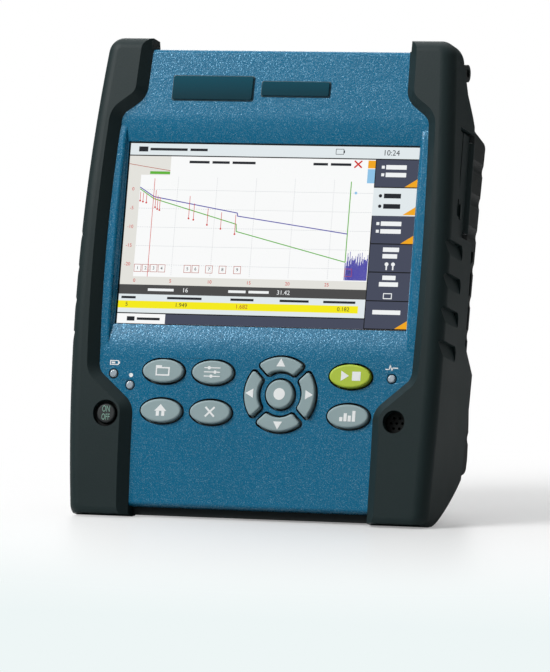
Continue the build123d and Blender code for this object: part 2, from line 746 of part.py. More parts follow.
def main_board():
    """Main board on the posts of the rear cover."""
    half = CORE_HALF - 2 * WALL
    return block((-half, half), (MAIN_BOARD_Y, SOCKET_Y), (MAIN_POSTS[0] - 6, MAIN_POSTS[1] + 5))


def module_profile():
    """Side profile of the measuring module."""
    middle = (MODULE_TOP + MODULE_LOW) / 2
    top = MODULE_TOP - MODULE_SLANT
    return make_face(
        [
            Polyline((MODULE_DEEP_LOW, MODULE_LOW), (PLATE_Y, MODULE_LOW), (PLATE_Y, MODULE_TOP)),
            Line((PLATE_Y, MODULE_TOP), (MODULE_DEEP_TOP, top)),
            ThreePointArc(
                (MODULE_DEEP_TOP, top),
                ((MODULE_DEEP_TOP + MODULE_DEEP_LOW) / 2 - 0.8, middle),
                (MODULE_DEEP_LOW, MODULE_LOW),
            ),
        ]
    )


ADAPTER_X = -26.0
ADAPTER_Y = PLATE_Y + 9.0
ADAPTER_W = 12.6
ADAPTER_D = 9.4
ADAPTER_RISE = 8.0
ADAPTER_LIP = 2.0
ADAPTER_LIP_T = 1.6
ADAPTER_WALL = 1.3
ADAPTER_SINK = 10.0
ADAPTER_SOCKET = 11.0
FERRULE_R = 1.25
SLEEVE_R = 2.4
SLEEVE_LEN = 9.0
PORT_Z = MODULE_TOP - MODULE_SLANT * (ADAPTER_Y - PLATE_Y) / (MODULE_DEEP_TOP - PLATE_Y)


def flute(index, half):
    """Pair of shallow grip flutes on the sides of a rear piece."""
    z = SCOOP_TOP_Z - SCOOP_H / 2 - index * SCOOP_PITCH
    right = slab(Pos(half + 3.2, z) * Circle(4.0), BACK_Y, HEIGHT)
    return right + mirror(right, about=Plane.YZ)


def rimmed(profile):
    """Rear piece of full width with its side rims rounded."""
    solid = bar(profile, -REAR_HALF, REAR_HALF)
    rims = [e for e in solid.edges() if e.center().Y > PLATE_Y + 0.5 and abs(e.center().X) > REAR_HALF - 1]
    return fillet(rims, REAR_EDGE)


def module_case():
    """Hollow case of the measuring module, open to the front, with screw bosses."""
    profile = module_profile()
    outer = rimmed(fillet(profile.vertices().sort_by(Axis.X)[-2:], REAR_EDGE + 1.0))
    for index in range(-3, SCOOP_COUNT - 1):
        outer -= flute(index, REAR_HALF)
    groove = (REAR_HALF - MODULE_GROOVE, REAR_HALF + 1)
    recess = block(groove, (PLATE_Y - 1, MODULE_GROOVE_Y), (MODULE_LOW - 1, DOOR_LOW))
    outer -= recess + mirror(recess, about=Plane.YZ)
    inside = REAR_HALF - REAR_WALL - 1.0
    room = offset(module_profile(), amount=-REAR_WALL)
    room += Pos(PLATE_Y + REAR_WALL / 2, (MODULE_LOW + MODULE_TOP) / 2) * Rectangle(
        REAR_WALL + 1, MODULE_TOP - MODULE_LOW - 2 * REAR_WALL - 0.4
    )
    case = outer - bar(room, -inside, inside)
    case += screw_holes(MODULE_SCREW_Z, BOSS_R, PLATE_Y, MODULE_DEEP_LOW - 1.5)
    case -= screw_holes(MODULE_SCREW_Z, SCREW_R + RUNNING, PLATE_Y - 1, HEIGHT)
    case -= screw_holes(MODULE_SCREW_Z, SCREW_HEAD_R + 0.3, head_seat(MODULE_DEEP_LOW), HEIGHT)
    case += port_block(ADAPTER_LIP + 0.6, PORT_Z - REAR_WALL, PORT_Z)
    case -= port_block(ADAPTER_LIP + 0.6, PORT_Z, MODULE_TOP + 2)
    return case - port_block(FIT, PORT_Z - ADAPTER_SINK, MODULE_TOP + 2)


def port_block(grow, low, high):
    """Block round the optical socket, larger than it by a margin."""
    x = (ADAPTER_X - ADAPTER_W / 2 - grow, ADAPTER_X + ADAPTER_W / 2 + grow)
    half = ADAPTER_D / 2 + grow / 2
    return block(x, (ADAPTER_Y - half, ADAPTER_Y + half), (low, high))


def head_seat(deep):
    """Depth of the floor under a sunk screw head."""
    return deep - SCREW_HEAD_T + 0.6


MODULE_BOARD_Y = PLATE_Y + REAR_WALL + 2.0
BOARD_FACE_Y = MODULE_BOARD_Y + BOARD_T
BOARD_HALF = REAR_HALF - BOARD_INSET
BOARD_LOW = MODULE_LOW + REAR_WALL + BOARD_FOOT
BOARD_HIGH = MODULE_TOP - BOARD_HEAD
BOARD_MID = (BOARD_LOW + BOARD_HIGH) / 2


def module_base():
    """Front plate of the module with posts for its board."""
    half = REAR_HALF - REAR_WALL - 1.0 - FIT
    low = MODULE_LOW + REAR_WALL + 0.3
    high = MODULE_TOP - REAR_WALL - 0.3
    plate = block((-half, half), (PLATE_Y, PLATE_Y + REAR_WALL), (low, high))
    plate -= screw_holes(MODULE_SCREW_Z, BOSS_R + FIT, PLATE_Y - 1, HEIGHT)
    corner = block((SCREW_X - BOSS_R - FIT, REAR_HALF), (PLATE_Y - 1, HEIGHT), (MODULE_LOW, MODULE_SCREW_Z))
    plate -= corner + mirror(corner, about=Plane.YZ)
    across, along = POST_INSET
    for x in (across - BOARD_HALF, BOARD_HALF - across):
        for z in (BOARD_LOW + along, BOARD_HIGH - along):
            plate += rod(x, z, POST_R, PLATE_Y + REAR_WALL, MODULE_BOARD_Y)
    return plate


def module_board():
    """Board of the module."""
    x = (-BOARD_HALF, BOARD_HALF)
    return block(x, (MODULE_BOARD_Y, BOARD_FACE_Y), (BOARD_LOW, BOARD_HIGH))


def laser_block():
    """Laser and detector block on the module board."""
    middle = (ADAPTER_X, BOARD_FACE_Y + LASER_SIZE[1] / 2, BOARD_MID)
    return Pos(*middle) * Box(*LASER_SIZE)


def fibre_spool():
    """Ring that holds the coiled launch fibre."""
    radius = SPOOL_FILL * (BOARD_HIGH - BOARD_LOW)
    x = BOARD_HALF - radius - SPOOL_SIDE
    ring = rod(x, BOARD_MID, radius, BOARD_FACE_Y, BOARD_FACE_Y + SPOOL_T)
    return ring - rod(x, BOARD_MID, radius * 2 / 3, BOARD_FACE_Y - 1, BOARD_FACE_Y + SPOOL_T + 1)


def optical_adapter():
    """Optical connector socket on top of the module."""
    top = PORT_Z + ADAPTER_RISE
    body = port_block(0, PORT_Z - ADAPTER_SINK, top)
    body += port_block(ADAPTER_LIP, PORT_Z, PORT_Z + ADAPTER_LIP_T)
    return body - port_block(-ADAPTER_WALL, top - ADAPTER_SOCKET, top + 1)


def ferrule_sleeve():
    """Sleeve in the optical socket that takes the fibre ferrule."""
    foot = PORT_Z + ADAPTER_RISE - ADAPTER_SOCKET
    ring = Pos(ADAPTER_X, ADAPTER_Y) * (Circle(SLEEVE_R) - Circle(FERRULE_R))
    return extrude(Plane.XY.offset(foot) * ring, amount=SLEEVE_LEN)


def screw(x, z, head_y, tip_y):
    """Slotted thumb screw along Y with its head to the back."""
    body = rod(x, z, SCREW_HEAD_R, head_y, head_y + SCREW_HEAD_T) + rod(x, z, SCREW_R, tip_y, head_y)
    top = head_y + SCREW_HEAD_T
    return body - block((x - 5, x + 5), (top - 0.9, top + 1), (z - 0.5, z + 0.5))


def screw_pair(z, deep):
    """Left and right screws of a rear piece."""
    seat = head_seat(deep)
    tip = BACK_Y - WALL - 4.5
    return Compound([screw(-SCREW_X, z, seat, tip), screw(SCREW_X, z, seat, tip)])


BATTERY_DEEP_SCREW = BATTERY_DEEP_TOP + 1.0


def battery_cover():
    """Battery cover with the hollow for the pack and the recess for the stand."""
    bend = BATTERY_LOW + BATTERY_CORNER
    bulge = ((BATTERY_DEEP_LOW + BATTERY_DEEP_TOP) / 2 + BATTERY_BULGE, (bend + BATTERY_TOP) / 2)
    profile = make_face(
        [
            Polyline(
                (BATTERY_DEEP_TOP, BATTERY_TOP),
                (PLATE_Y, BATTERY_TOP),
                (PLATE_Y, BATTERY_LOW),
                (BATTERY_DEEP_LOW - 1.0, BATTERY_LOW),
                (BATTERY_DEEP_LOW, bend),
            ),
            ThreePointArc((BATTERY_DEEP_LOW, bend), bulge, (BATTERY_DEEP_TOP, BATTERY_TOP)),
        ]
    )
    backs = profile.vertices().sort_by(Axis.X)[-3:]
    profile = fillet(backs.sort_by(Axis.Y)[:2], REAR_EDGE + 1.0)
    cover = rimmed(fillet(profile.vertices().sort_by(Axis.Y)[-2:].sort_by(Axis.X)[-1], REAR_EDGE + 1.0))
    for index in range(SCOOP_COUNT - 1, SCOOP_COUNT + 2):
        cover -= flute(index, REAR_HALF)
    half = REAR_HALF - REAR_WALL - 1.0
    deep = STAND_FLOOR_Y - WALL
    room = block((-half, half), (PLATE_Y - 1, deep), (BATTERY_LOW + REAR_WALL, BATTERY_TOP - REAR_WALL))
    cover -= room
    cover += screw_holes(BATTERY_SCREW_Z, BATTERY_BOSS_R, PLATE_Y, deep)
    cover -= screw_holes(BATTERY_SCREW_Z, SCREW_R + RUNNING, PLATE_Y - 1, HEIGHT)
    cover -= screw_holes(BATTERY_SCREW_Z, SCREW_HEAD_R + 0.3, head_seat(BATTERY_DEEP_SCREW), HEIGHT)
    bay = STAND_HALF + 1.0
    top = STAND_HINGE[1] + STAND_BARREL_R + STAND_ROOM
    cover -= block((-bay, bay), (STAND_FLOOR_Y, HEIGHT), (BATTERY_LOW - 1, top))
    return cover - cross_rod(*STAND_HINGE, STAND_PIN_R + 0.01, -bay - 5.0, bay + 5.0)


def battery_pack():
    """Flat lithium battery pack."""
    low = BATTERY_LOW + REAR_WALL + 0.4
    high = BATTERY_TOP - REAR_WALL - 0.4
    half = SCREW_X - BATTERY_BOSS_R - 0.6
    pack = block((-half, half), (PLATE_Y, PLATE_Y + PACK_T), (low, high))
    return fillet(pack.edges().filter_by(Axis.Z), 1.5)


def stand_pin():
    """Steel pin of the stand."""
    half = STAND_HALF + 5.0
    return cross_rod(*STAND_HINGE, STAND_PIN_R, -half, half)


def floor_height():
    """Height of the floor under the upright frame's origin once the instrument leans."""
    return -HEEL_Y * sin(radians(LEAN)) + LAND_CUT


def leaned_height(y, z):
    """Height of a point above the floor once the instrument leans."""
    tilt = radians(LEAN)
    return -y * sin(tilt) + z * cos(tilt) - floor_height()


STAND_REACH = hypot(STAND_TIP[0] - STAND_HINGE[0], STAND_TIP[1] - STAND_HINGE[1])
STAND_FOLDED = degrees(atan2(STAND_TIP[0] - STAND_HINGE[0], STAND_HINGE[1] - STAND_TIP[1]))
STAND_DROP = leaned_height(*STAND_HINGE) - STAND_TIP_R
STAND_OPEN = degrees(acos(STAND_DROP / STAND_REACH)) + LEAN
STAND_SWING = STAND_OPEN - STAND_FOLDED


def stand_leg():
    """Bent stand leg drawn folded, before it is swung open."""
    path = trace(Polyline(STAND_HINGE, STAND_KNEE, STAND_TIP), line_width=STAND_T)
    path += Pos(*STAND_HINGE) * Circle(STAND_BARREL_R)
    path += Pos(*STAND_KNEE) * Circle(STAND_T / 2)
    path += Pos(*STAND_TIP) * Circle(STAND_TIP_R)
    path -= Pos(*STAND_HINGE) * Circle(STAND_PIN_R + RUNNING)
    return bar(path, -STAND_HALF, STAND_HALF)


def swung(piece):
    """Swing a folded stand piece open about its pin."""
    hinge = Pos(0, *STAND_HINGE)
    return hinge * (Rot(STAND_SWING, 0, 0) * (hinge.inverse() * piece))


def shoe_zone():
    """Zone of the folded leg that is the rubber shoe."""
    return block((-HEIGHT, HEIGHT), (0, HEIGHT), (-HEIGHT, STAND_TIP[1] + SHOE_LEN - STAND_TIP_R))


def landed(solid):
    """Cut the flat land on which a bumper's heel stands."""
    under = Box(4 * HEIGHT, 4 * HEIGHT, HEIGHT, align=(Align.CENTER, Align.CENTER, Align.MAX))
    return solid - Rot(LEAN, 0, 0) * (Pos(0, 0, floor_height()) * under)


def pieces():
    """Every piece of the instrument, drawn upright."""
    result = {
        "front_cover": front_cover(),
        "rear_cover": rear_cover(),
        "left_bumper": landed(left_bumper()),
        "right_bumper": landed(right_bumper()),
        "display_gasket": slab(
            screen_rect(GLASS_W, GLASS_H) - screen_rect(WINDOW_W, WINDOW_H), LIP_Y, GLASS_Y
        ),
        "display_window": slab(screen_rect(GLASS_W, GLASS_H), GLASS_Y, DISPLAY_Y),
        "display_panel": slab(screen_rect(GLASS_W - 1, GLASS_H - 1), DISPLAY_Y, DISPLAY_Y + PANEL_T),
        "keypad_board": keypad_board(),
        "key_switches": key_switches(),
        "power_key": power_key(),
        "power_collar": power_collar(),
        "speaker_grille": speaker_grille(),
        "speaker": rod(*at_screen(SPEAKER_AT), SPEAKER_R, KEY_PLANE + 0.6, KEY_BOARD_Y),
        "main_board": main_board(),
        "usb_sockets": usb_sockets(),
        "usb_tongues": usb_tongues(),
        "dc_socket": dc_socket(),
        "dc_pin": dc_pin(),
        "strap_lugs": strap_lugs(),
        "right_door": port_door(),
        "left_door": mirror(port_door(), about=Plane.YZ),
        "door_pins": door_pins(),
        "module_case": module_case(),
        "module_base": module_base(),
        "module_board": module_board(),
        "laser_block": laser_block(),
        "fibre_spool": fibre_spool(),
        "optical_adapter": optical_adapter(),
        "ferrule_sleeve": ferrule_sleeve(),
        "module_screws": screw_pair(MODULE_SCREW_Z, MODULE_DEEP_LOW),
        "battery_cover": battery_cover(),
        "battery_pack": battery_pack(),
        "battery_screws": screw_pair(BATTERY_SCREW_Z, BATTERY_DEEP_SCREW),
        "stand_pin": stand_pin(),
        "stand": swung(stand_leg() - shoe_zone()),
        "stand_shoe": swung(stand_leg() & shoe_zone()),
    }
    for name, place in LAMP_PLACES.items():
        result[name] = lamp(place)
    for name, (outline, x, z) in key_outlines().items():
        result[name] = key(outline, x, z)
    return result


def stance(shapes):
    """Lean of the instrument, with the middle of its footprint at the origin."""
    leaned = Pos(0, 0, -floor_height()) * Rot(-LEAN, 0, 0)
    boxes = [(leaned * shape).bounding_box() for shape in shapes]
    front = min(box.min.Y for box in boxes)
    back = max(box.max.Y for box in boxes)
    return Pos(0, -(front + back) / 2, 0) * leaned


PIECES = pieces()
STANCE = stance(PIECES.values())


def main():
    """Write every piece as a STEP file."""
    os.makedirs("parts", exist_ok=True)
    for name, piece in PIECES.items():
        export_step(STANCE * piece, f"parts/{name}.step")


if __name__ == "__main__":
    main()
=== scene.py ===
import json
from math import cos, pi, radians, sin, sqrt

import bmesh
import bpy
from bpy.props import FloatProperty, FloatVectorProperty, PointerProperty
from mathutils import Matrix, Vector


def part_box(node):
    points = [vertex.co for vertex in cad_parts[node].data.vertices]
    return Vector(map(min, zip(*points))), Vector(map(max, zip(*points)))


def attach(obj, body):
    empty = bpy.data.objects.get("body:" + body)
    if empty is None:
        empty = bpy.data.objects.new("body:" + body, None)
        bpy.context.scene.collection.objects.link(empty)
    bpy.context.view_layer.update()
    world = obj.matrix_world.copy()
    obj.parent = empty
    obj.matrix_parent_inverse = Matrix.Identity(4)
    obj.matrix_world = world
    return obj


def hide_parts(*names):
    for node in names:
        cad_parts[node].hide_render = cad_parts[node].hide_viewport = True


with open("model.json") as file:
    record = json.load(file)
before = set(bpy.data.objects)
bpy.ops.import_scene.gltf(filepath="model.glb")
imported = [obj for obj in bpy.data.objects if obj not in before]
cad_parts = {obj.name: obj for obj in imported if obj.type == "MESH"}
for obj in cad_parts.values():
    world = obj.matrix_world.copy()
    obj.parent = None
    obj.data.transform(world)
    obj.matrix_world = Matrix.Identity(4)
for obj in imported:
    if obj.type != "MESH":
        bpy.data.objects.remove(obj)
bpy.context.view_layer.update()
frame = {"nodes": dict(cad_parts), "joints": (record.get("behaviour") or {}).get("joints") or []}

bl_info = {
    "name": "Fibre Tester Dressing",
    "version": (1, 0, 0),
    "blender": (4, 5, 0),
    "location": "View3D > Sidebar > Fibre Tester",
    "description": "Finishes, screen picture, key signs and studio for the handheld fibre tester",
    "category": "Object",
}

JOINTS = {joint["name"]: joint for joint in frame["joints"]}
MM_PER_M = 1000.0

# The instrument was drawn upright in millimetres: X right, Y from the screen to the back, Z up
# the front. A key's press axis and the middle of the stand's pin give its lean and its place.
STAND_PIN_MM = Vector((0.0, 45.0, 53.5))
INWARD = Vector(JOINTS["enter_key_press"]["axis"])
UPWARD = Vector((1, 0, 0)).cross(INWARD)
LEAN = Matrix(((1, 0, 0), INWARD, UPWARD)).transposed().to_4x4()
PIN_LOW, PIN_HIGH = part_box("stand_pin")
PIN = Matrix.Translation((Vector(PIN_LOW) + Vector(PIN_HIGH)) / 2)
UPRIGHT = PIN @ LEAN @ Matrix.Scale(1 / MM_PER_M, 4) @ Matrix.Translation(-STAND_PIN_MM)

# Bowed front: depth and height of its foremost line, and its radius
PANEL_Y = -3.0
BOW_Z = 95.0
BOW_RADIUS = 900.0

# Screen: height of its middle, and depth of its glass
SCREEN_Z = 100.5
GLASS_Y = 0.6

# Hollow round the screen: half its width, and the depth behind which nothing is eased
SCOOP_HALF = 57.0
SCOOP_Y = -0.8

# Creases where the bowed front turns in to the screen: heights, slope, reach and cuts of the easing
CREASES = (139.02, 60.0)
CREASE_SLOPE = 0.2
EASE_REACH = 4.4
EASE_CUTS = 6

# Rims of the walls beside the screen: nearest and farthest across, bends, and rounding
RIM_NEAR = 55.0
RIM_FAR = 56.2
RIM_BEND_LEAST = radians(45)
RIM_BEND_MOST = radians(75)
RIM_ROUND = 0.8

# Openings of the keys and lamps: lowest and highest wall, how far a wall may lean, rounding
OPENINGS_LOW = 20.0
OPENINGS_HIGH = 58.0
WALL_LEAN = 0.3
MOUTH_ROUND = 0.3

# Materials of the front cover: its paint, and black that is partly bare ABS and partly painted
# shade; and the bend from which its edges stay sharp
PAINTED = 0
BARE_AND_SHADE = 1
SHARP_BEND = radians(24)

# Distances within which points count as one: on the CAD mesh in metres, then in millimetres
WELD = 1e-6
CUT_WELD = 1e-4
CORNER_WELD = 1e-5
NEAR = 0.01

# Keys and lamp signs: places across and up from the middle of the screen, how far key tops stand
# out, and how deep the print is let in
FILE_AT = (-33.7, -49.6)
SETUP_AT = (-15.2, -49.6)
HOME_AT = (-33.7, -63.6)
CANCEL_AT = (-15.2, -63.6)
START_AT = (35.8, -49.6)
RESULTS_AT = (35.8, -63.6)
PAD_AT = (10.2, -56.6)
RING_MIDDLE = 10.6
POWER_AT = (-53.5, -65.4)
CHARGE_SIGN_AT = (-52.4, -47.0)
ON_SIGN_AT = (-46.0, -51.3)
TESTING_SIGN_AT = (50.6, -46.1)
KEY_PROUD = 1.4
POWER_PROUD = 3.1
PRINT_SUNK = 0.01
TRIANGLE = 3
ARROWS = (("right", 0.0), ("up", pi / 2), ("left", pi), ("down", -pi / 2))

GREY_KEYS = (
    "file_key", "setup_key", "home_key", "cancel_key", "results_key",
    "up_key", "down_key", "left_key", "right_key", "enter_key",
)

# Bare plates on the header: name, middle across, width and height
PLATES = (("long_plate", -24.0, 30.0, 8.6), ("short_plate", 7.0, 25.2, 5.2))
# Their middles, and where painted shade darkens them downwards, above the middle of the screen
PLATE_UP = 52.3
PLATE_SHADE_LOW = 48.0
PLATE_SHADE_HIGH = 56.0
# A plate and the rim round it: how far they stand out and are let in, and their roundings
PLATE_RISE = 0.75
PLATE_RIM_RISE = 0.3
PLATE_RIM_WIDTH = 0.35
PLATE_SUNK = 0.2
PLATE_CORNER = 0.7
PLATE_EDGE = 0.2

# Patterns of the materials, in millimetres
FLAKE = 0.26
ORANGE_PEEL = 0.7
PAINT_DRIFT = 45.0
MOULD_DRIFT = 22.0
LATHE_RINGS = 0.5
LENS_HAZE = 0.9
FINGER_SMEAR = 18.0
# Depth of the finest relief, in metres
RELIEF = 0.0002
# Light of the screen's pixels
BACKLIGHT = 0.97

# Sockets of a Mix node that mixes colours
SHARE, FIRST, SECOND = 0, 6, 7
MIXED = 2

# Picture on the screen: shares of its width from the left and of its height from the top.
# It is laid in films of one colour each, with millimetres for their thickness and for strokes.
FILM = 0.03
NUDGE = 0.002
RULE = 0.006
PLOT_RIGHT = 0.853
MENU_LEFT = 0.856
DARK_CELLS = ((0.07, 0.224), (0.377, 0.534), (0.534, 0.689), (0.689, 0.846), (0.846, 1.0))
CORNERED = (0.224, 0.377, 0.534, 1.0)
CORNER_WIDTH = 4.6
CORNER_HEIGHT = 2.9
LOSS_MARKS = (("0", 0.256), ("-5", 0.361), ("-10", 0.465), ("-15", 0.569), ("-20", 0.673))
RANGE_MARKS = (
    ("0", 0.05), ("5", 0.176), ("10", 0.312), ("15", 0.448), ("20", 0.582), ("25", 0.717))
LOSS_DASHES = tuple(0.046 + dash * 0.008 for dash in range(101))
RANGE_DASHES = tuple(0.185 + dash * 0.011 for dash in range(50))
VIOLET_TRACE = ((0.045, 0.245), (0.0955, 0.296), (0.39, 0.378), (0.392, 0.395), (0.7735, 0.481))
GREEN_TRACE = (
    (0.045, 0.254), (0.0955, 0.307), (0.389, 0.44), (0.391, 0.48), (0.774, 0.636), (0.775, 0.194))
OVERVIEW_TRACE = ((0.0, 0.115), (0.06, 0.13), (0.145, 0.15))
# Noise behind the end of the fibre: left edge and top of each spike, and the floor they stand on
NOISE = tuple(
    (0.7775 + spike * 0.00195,
     0.615 - 0.045 * abs(sin(spike * 2.4)) + 0.05 * abs(sin(spike * 0.9 + 1)))
    for spike in range(38))
NOISE_FLOOR = 0.735
EVENT_MARKS = (
    (0.048, 0.27, 0.32), (0.058, 0.275, 0.325), (0.07, 0.28, 0.33), (0.102, 0.26, 0.355),
    (0.11, 0.29, 0.365), (0.118, 0.3, 0.37), (0.222, 0.29, 0.413), (0.239, 0.33, 0.42),
    (0.288, 0.355, 0.447), (0.336, 0.376, 0.467), (0.386, 0.387, 0.495))
BOX_MARKS = (0.058, 0.086, 0.114, 0.142, 0.232, 0.26, 0.307, 0.354, 0.405, 0.787)
HEADER_BARS = ((0.01, 0.06), (0.17, 0.29), (0.39, 0.47), (0.56, 0.66), (0.71, 0.82))
NOTE_BARS = (
    (0.07, 0.2, 0.032), (0.21, 0.27, 0.032), (0.21, 0.28, 0.1), (0.29, 0.35, 0.1),
    (0.36, 0.44, 0.1), (0.64, 0.69, 0.1), (0.7, 0.77, 0.1), (0.07, 0.15, 0.974))
MENU_BARS = (
    (0.9, 0.955, 0.562), (0.9, 0.95, 0.598), (0.905, 0.95, 0.716), (0.895, 0.96, 0.752),
    (0.88, 0.975, 0.905))
MENU_CHOICES = ((0.88, 0.11), (0.88, 0.152), (0.876, 0.42), (0.876, 0.462))
PALE_CHOICES = (0.268, 0.325)
TOOLS = (0.916, 0.938)

# Fields of each colour: left, top, right and bottom
FIELDS = {
    "white": ((0, 0, 1, 1),),
    "beige": (
        (0, 0.175, 0.044, 0.785), (0.044, 0.74, PLOT_RIGHT, 0.785), (0, 0.07, 0.145, 0.175)),
    "pale": (
        (0, 0, 1, 0.064), (0, 0.838, PLOT_RIGHT, 0.875), (0.83, 0.875, PLOT_RIGHT, 0.94),
        (0, 0.915, 0.83, 0.94), (PLOT_RIGHT, 0.224, 1, 0.377)),
    "slate": (
        *((MENU_LEFT, top, 1, low - RULE) for top, low in DARK_CELLS),
        (0.168, 0.946, PLOT_RIGHT, 1)),
    "black": (
        (0, 0.064, 1, 0.07), (0, 0.94, PLOT_RIGHT, 0.946), (PLOT_RIGHT, 0.07, MENU_LEFT, 0.224),
        (PLOT_RIGHT, 0.377, MENU_LEFT, 1),
        *((MENU_LEFT, low - RULE, 1, low) for _, low in DARK_CELLS)),
    "charcoal": ((0, 0.785, PLOT_RIGHT, 0.838),),
    "yellow": ((0, 0.875, 0.83, 0.915),),
    "grid": (
        *((u, v - 0.0012, u + 0.004, v + 0.0012) for _, v in LOSS_MARKS for u in LOSS_DASHES),
        *((u - 0.0007, v, u + 0.0007, v + 0.0055)
          for _, u in RANGE_MARKS[1:] for v in RANGE_DASHES)),
    "green": ((0.075, 0.155, 0.145, 0.17),),
    "violet": (
        (0.7735, 0.64, 0.7765, NOISE_FLOOR), *((u, v, u + 0.0018, NOISE_FLOOR) for u, v in NOISE)),
    "red": (
        *((u - 0.0009, top, u + 0.0009, low) for u, top, low in EVENT_MARKS),
        (0.0932, 0.195, 0.095, 0.74)),
    "orange": ((0.828, 0.075, PLOT_RIGHT, 0.118),),
    "sky": ((0.828, 0.122, PLOT_RIGHT, 0.2),),
    "ink": (
        *((u0, 0.85, u1, 0.863) for u0, u1 in HEADER_BARS),
        *((u0, v - 0.007, u1, v + 0.007) for u0, u1, v in NOTE_BARS),
        (0.03, 0.018, 0.062, 0.046), (0.035, 0.962, 0.062, 0.986), (0.742, 0.022, 0.745, 0.037),
        *((0.89, v - 0.013, 0.948, v + 0.013) for v in PALE_CHOICES)),
    "snow": (
        *((u - 0.005, v - 0.008, u + 0.005, v + 0.008) for u, v in MENU_CHOICES),
        *((u + 0.01, v - 0.012, u + 0.08, v + 0.012) for u, v in MENU_CHOICES),
        *((u0, v - 0.012, u1, v + 0.012) for u0, u1, v in MENU_BARS),
        (0.38, 0.805, 0.44, 0.819), (0.45, 0.805, 0.52, 0.819), (0.1, 0.805, 0.19, 0.819)),
}
# Outlines: left, top, right, bottom and width of the stroke
OUTLINES = {
    "brick": tuple((u - 0.0125, 0.6715, u + 0.0125, 0.7145, 0.16) for u in BOX_MARKS),
    "ink": ((0.714, 0.014, 0.742, 0.045, 0.18),),
    "snow": ((0.912, 0.8, 0.942, 0.832, 0.3),),
}
# Strokes: points, width and lift off the film
STROKES = {
    "green": ((GREEN_TRACE, 0.34, 0),),
    "violet": ((VIOLET_TRACE, 0.34, 0),),
    "brick": ((OVERVIEW_TRACE, 0.2, 0),),
    "red": (
        (((0.782, 0.115), (0.806, 0.079)), 0.55, 0),
        (((0.782, 0.079), (0.806, 0.115)), 0.55, NUDGE)),
    "snow": tuple((((u, 0.672), (u, 0.645)), 0.5, 0) for u in TOOLS),
}
# Dots: middle, radius, segments and lift off the film
DOTS = {
    "red": tuple((u, low, 0.34, 12, NUDGE) for u, _, low in EVENT_MARKS),
    "sky": ((0.793, 0.255, 0.5, 16, 0),),
    "ink": tuple((0.878, v, 0.62, 16, 0) for v in PALE_CHOICES),
    "snow": tuple((u, 0.642, 0.7, 16, NUDGE) for u in TOOLS),
}
# Figures: text, middle and height
FIGURES = {
    "red": (
        *((text, 0.021, v, 1.25) for text, v in LOSS_MARKS),
        *((text, u, 0.763, 1.25) for text, u in RANGE_MARKS)),
    "brick": (("1.682", 0.43, 0.895, 1.5),),
    "ink": (
        *((str(number), u, 0.693, 1.2) for number, u in enumerate(BOX_MARKS, 1)),
        ("5", 0.03, 0.895, 1.5), ("1.949", 0.22, 0.895, 1.5), ("0.182", 0.78, 0.895, 1.5),
        ("10:24", 0.905, 0.033, 2.0)),
    "snow": (("16", 0.23, 0.812, 1.6), ("31.42", 0.57, 0.812, 1.6)),
}
# Films: name, colour and level out from the glass
FILMS = (
    ("white", "#FBFCFC", 0), ("beige", "#E5E4DE", 1), ("pale", "#E3EBEE", 1),
    ("slate", "#454A5C", 1), ("black", "#101214", 1), ("charcoal", "#4A4A4A", 1),
    ("yellow", "#F7EC13", 1), ("grid", "#C4C8CC", 1), ("green", "#5FB336", 2),
    ("violet", "#4A45A8", 3), ("brick", "#B3472E", 4), ("red", "#D02A22", 5),
    ("orange", "#F2A81C", 2), ("sky", "#8FC4E8", 2), ("ink", "#20242A", 5),
    ("snow", "#F2F5F6", 2))

# Floor, in metres: half its side, and where the camera sees the shadow on it fade to white
FLOOR_HALF = 6.0
SHADOW_MIDDLE = (0.05, 0.0, 0.0)
SHADOW_NEAR = 0.03
SHADOW_FAR = 0.24
WHITE_LEAST = 0.28
COOL_NEAR = -0.02
COOL_FAR = -0.3

# Light tent: rise of the rays where it turns from dim to bright, and its share in diffuse light
TENT_LOW = 0.24
TENT_HIGH = 0.6
TENT_DIM = 0.06
TENT_BRIGHT = 1.0
TENT_DIFFUSE = 0.1

# Area lamps: place in metres, size in metres, power in watts
LAMPS = (
    ("softbox left", (-1.2, -1.1, 1.4), (0.9, 0.7), 41.0),
    ("softbox front", (-0.35, -1.8, 0.5), (0.6, 0.6), 1.6),
    ("softbox top", (-0.1, 0.35, 1.4), (1.2, 0.8), 7.0),
    ("softbox back", (-0.7, 1.6, 0.8), (0.8, 0.6), 7.0),
)

# Camera, solved on the photo: its direction, and its place from the middle of the screen in metres
AZIMUTH = radians(19.4)
ELEVATION = radians(4.4)
ASIDE = 0.002865
BELOW = 0.035365
AWAY = 2.1813
SENSOR = 36.0
CLIP_END = 50.0


def srgb(code):
    """Turn an sRGB hex colour into a linear RGBA tuple."""
    parts = [int(code[i:i + 2], 16) / 255 for i in (1, 3, 5)]
    linear = [c / 12.92 if c <= 0.04045 else ((c + 0.055) / 1.055) ** 2.4 for c in parts]
    return (*linear, 1.0)


def per_mm(size):
    """Texture scale at which one cell spans a size in millimetres."""
    return MM_PER_M / size


def colour_property(name, description, code):
    """Colour that can be set in the panel."""
    return FloatVectorProperty(
        name=name, description=description, subtype="COLOR", size=4, default=srgb(code))


def length_property(name, description, metres):
    """Length that can be set in the panel."""
    return FloatProperty(name=name, description=description, unit="LENGTH", default=metres)


class TesterFinish(bpy.types.PropertyGroup):
    """Colours of the instrument"""

    paint: colour_property("Paint", "Front cover paint", "#00698F")
    flake: colour_property("Flake", "Light flakes in the paint", "#94BCCF")
    rubber: colour_property("Rubber", "Bumpers and doors", "#192728")
    casing: colour_property("Casing", "Rear cover, module and stand", "#141B1B")
    key: colour_property("Keys", "Grey keys", "#93A8AB")
    start: colour_property("Start key", "Start and stop key", "#B4CB3C")
    plate: colour_property("Name plates", "Bare plates on the header", "#00495A")


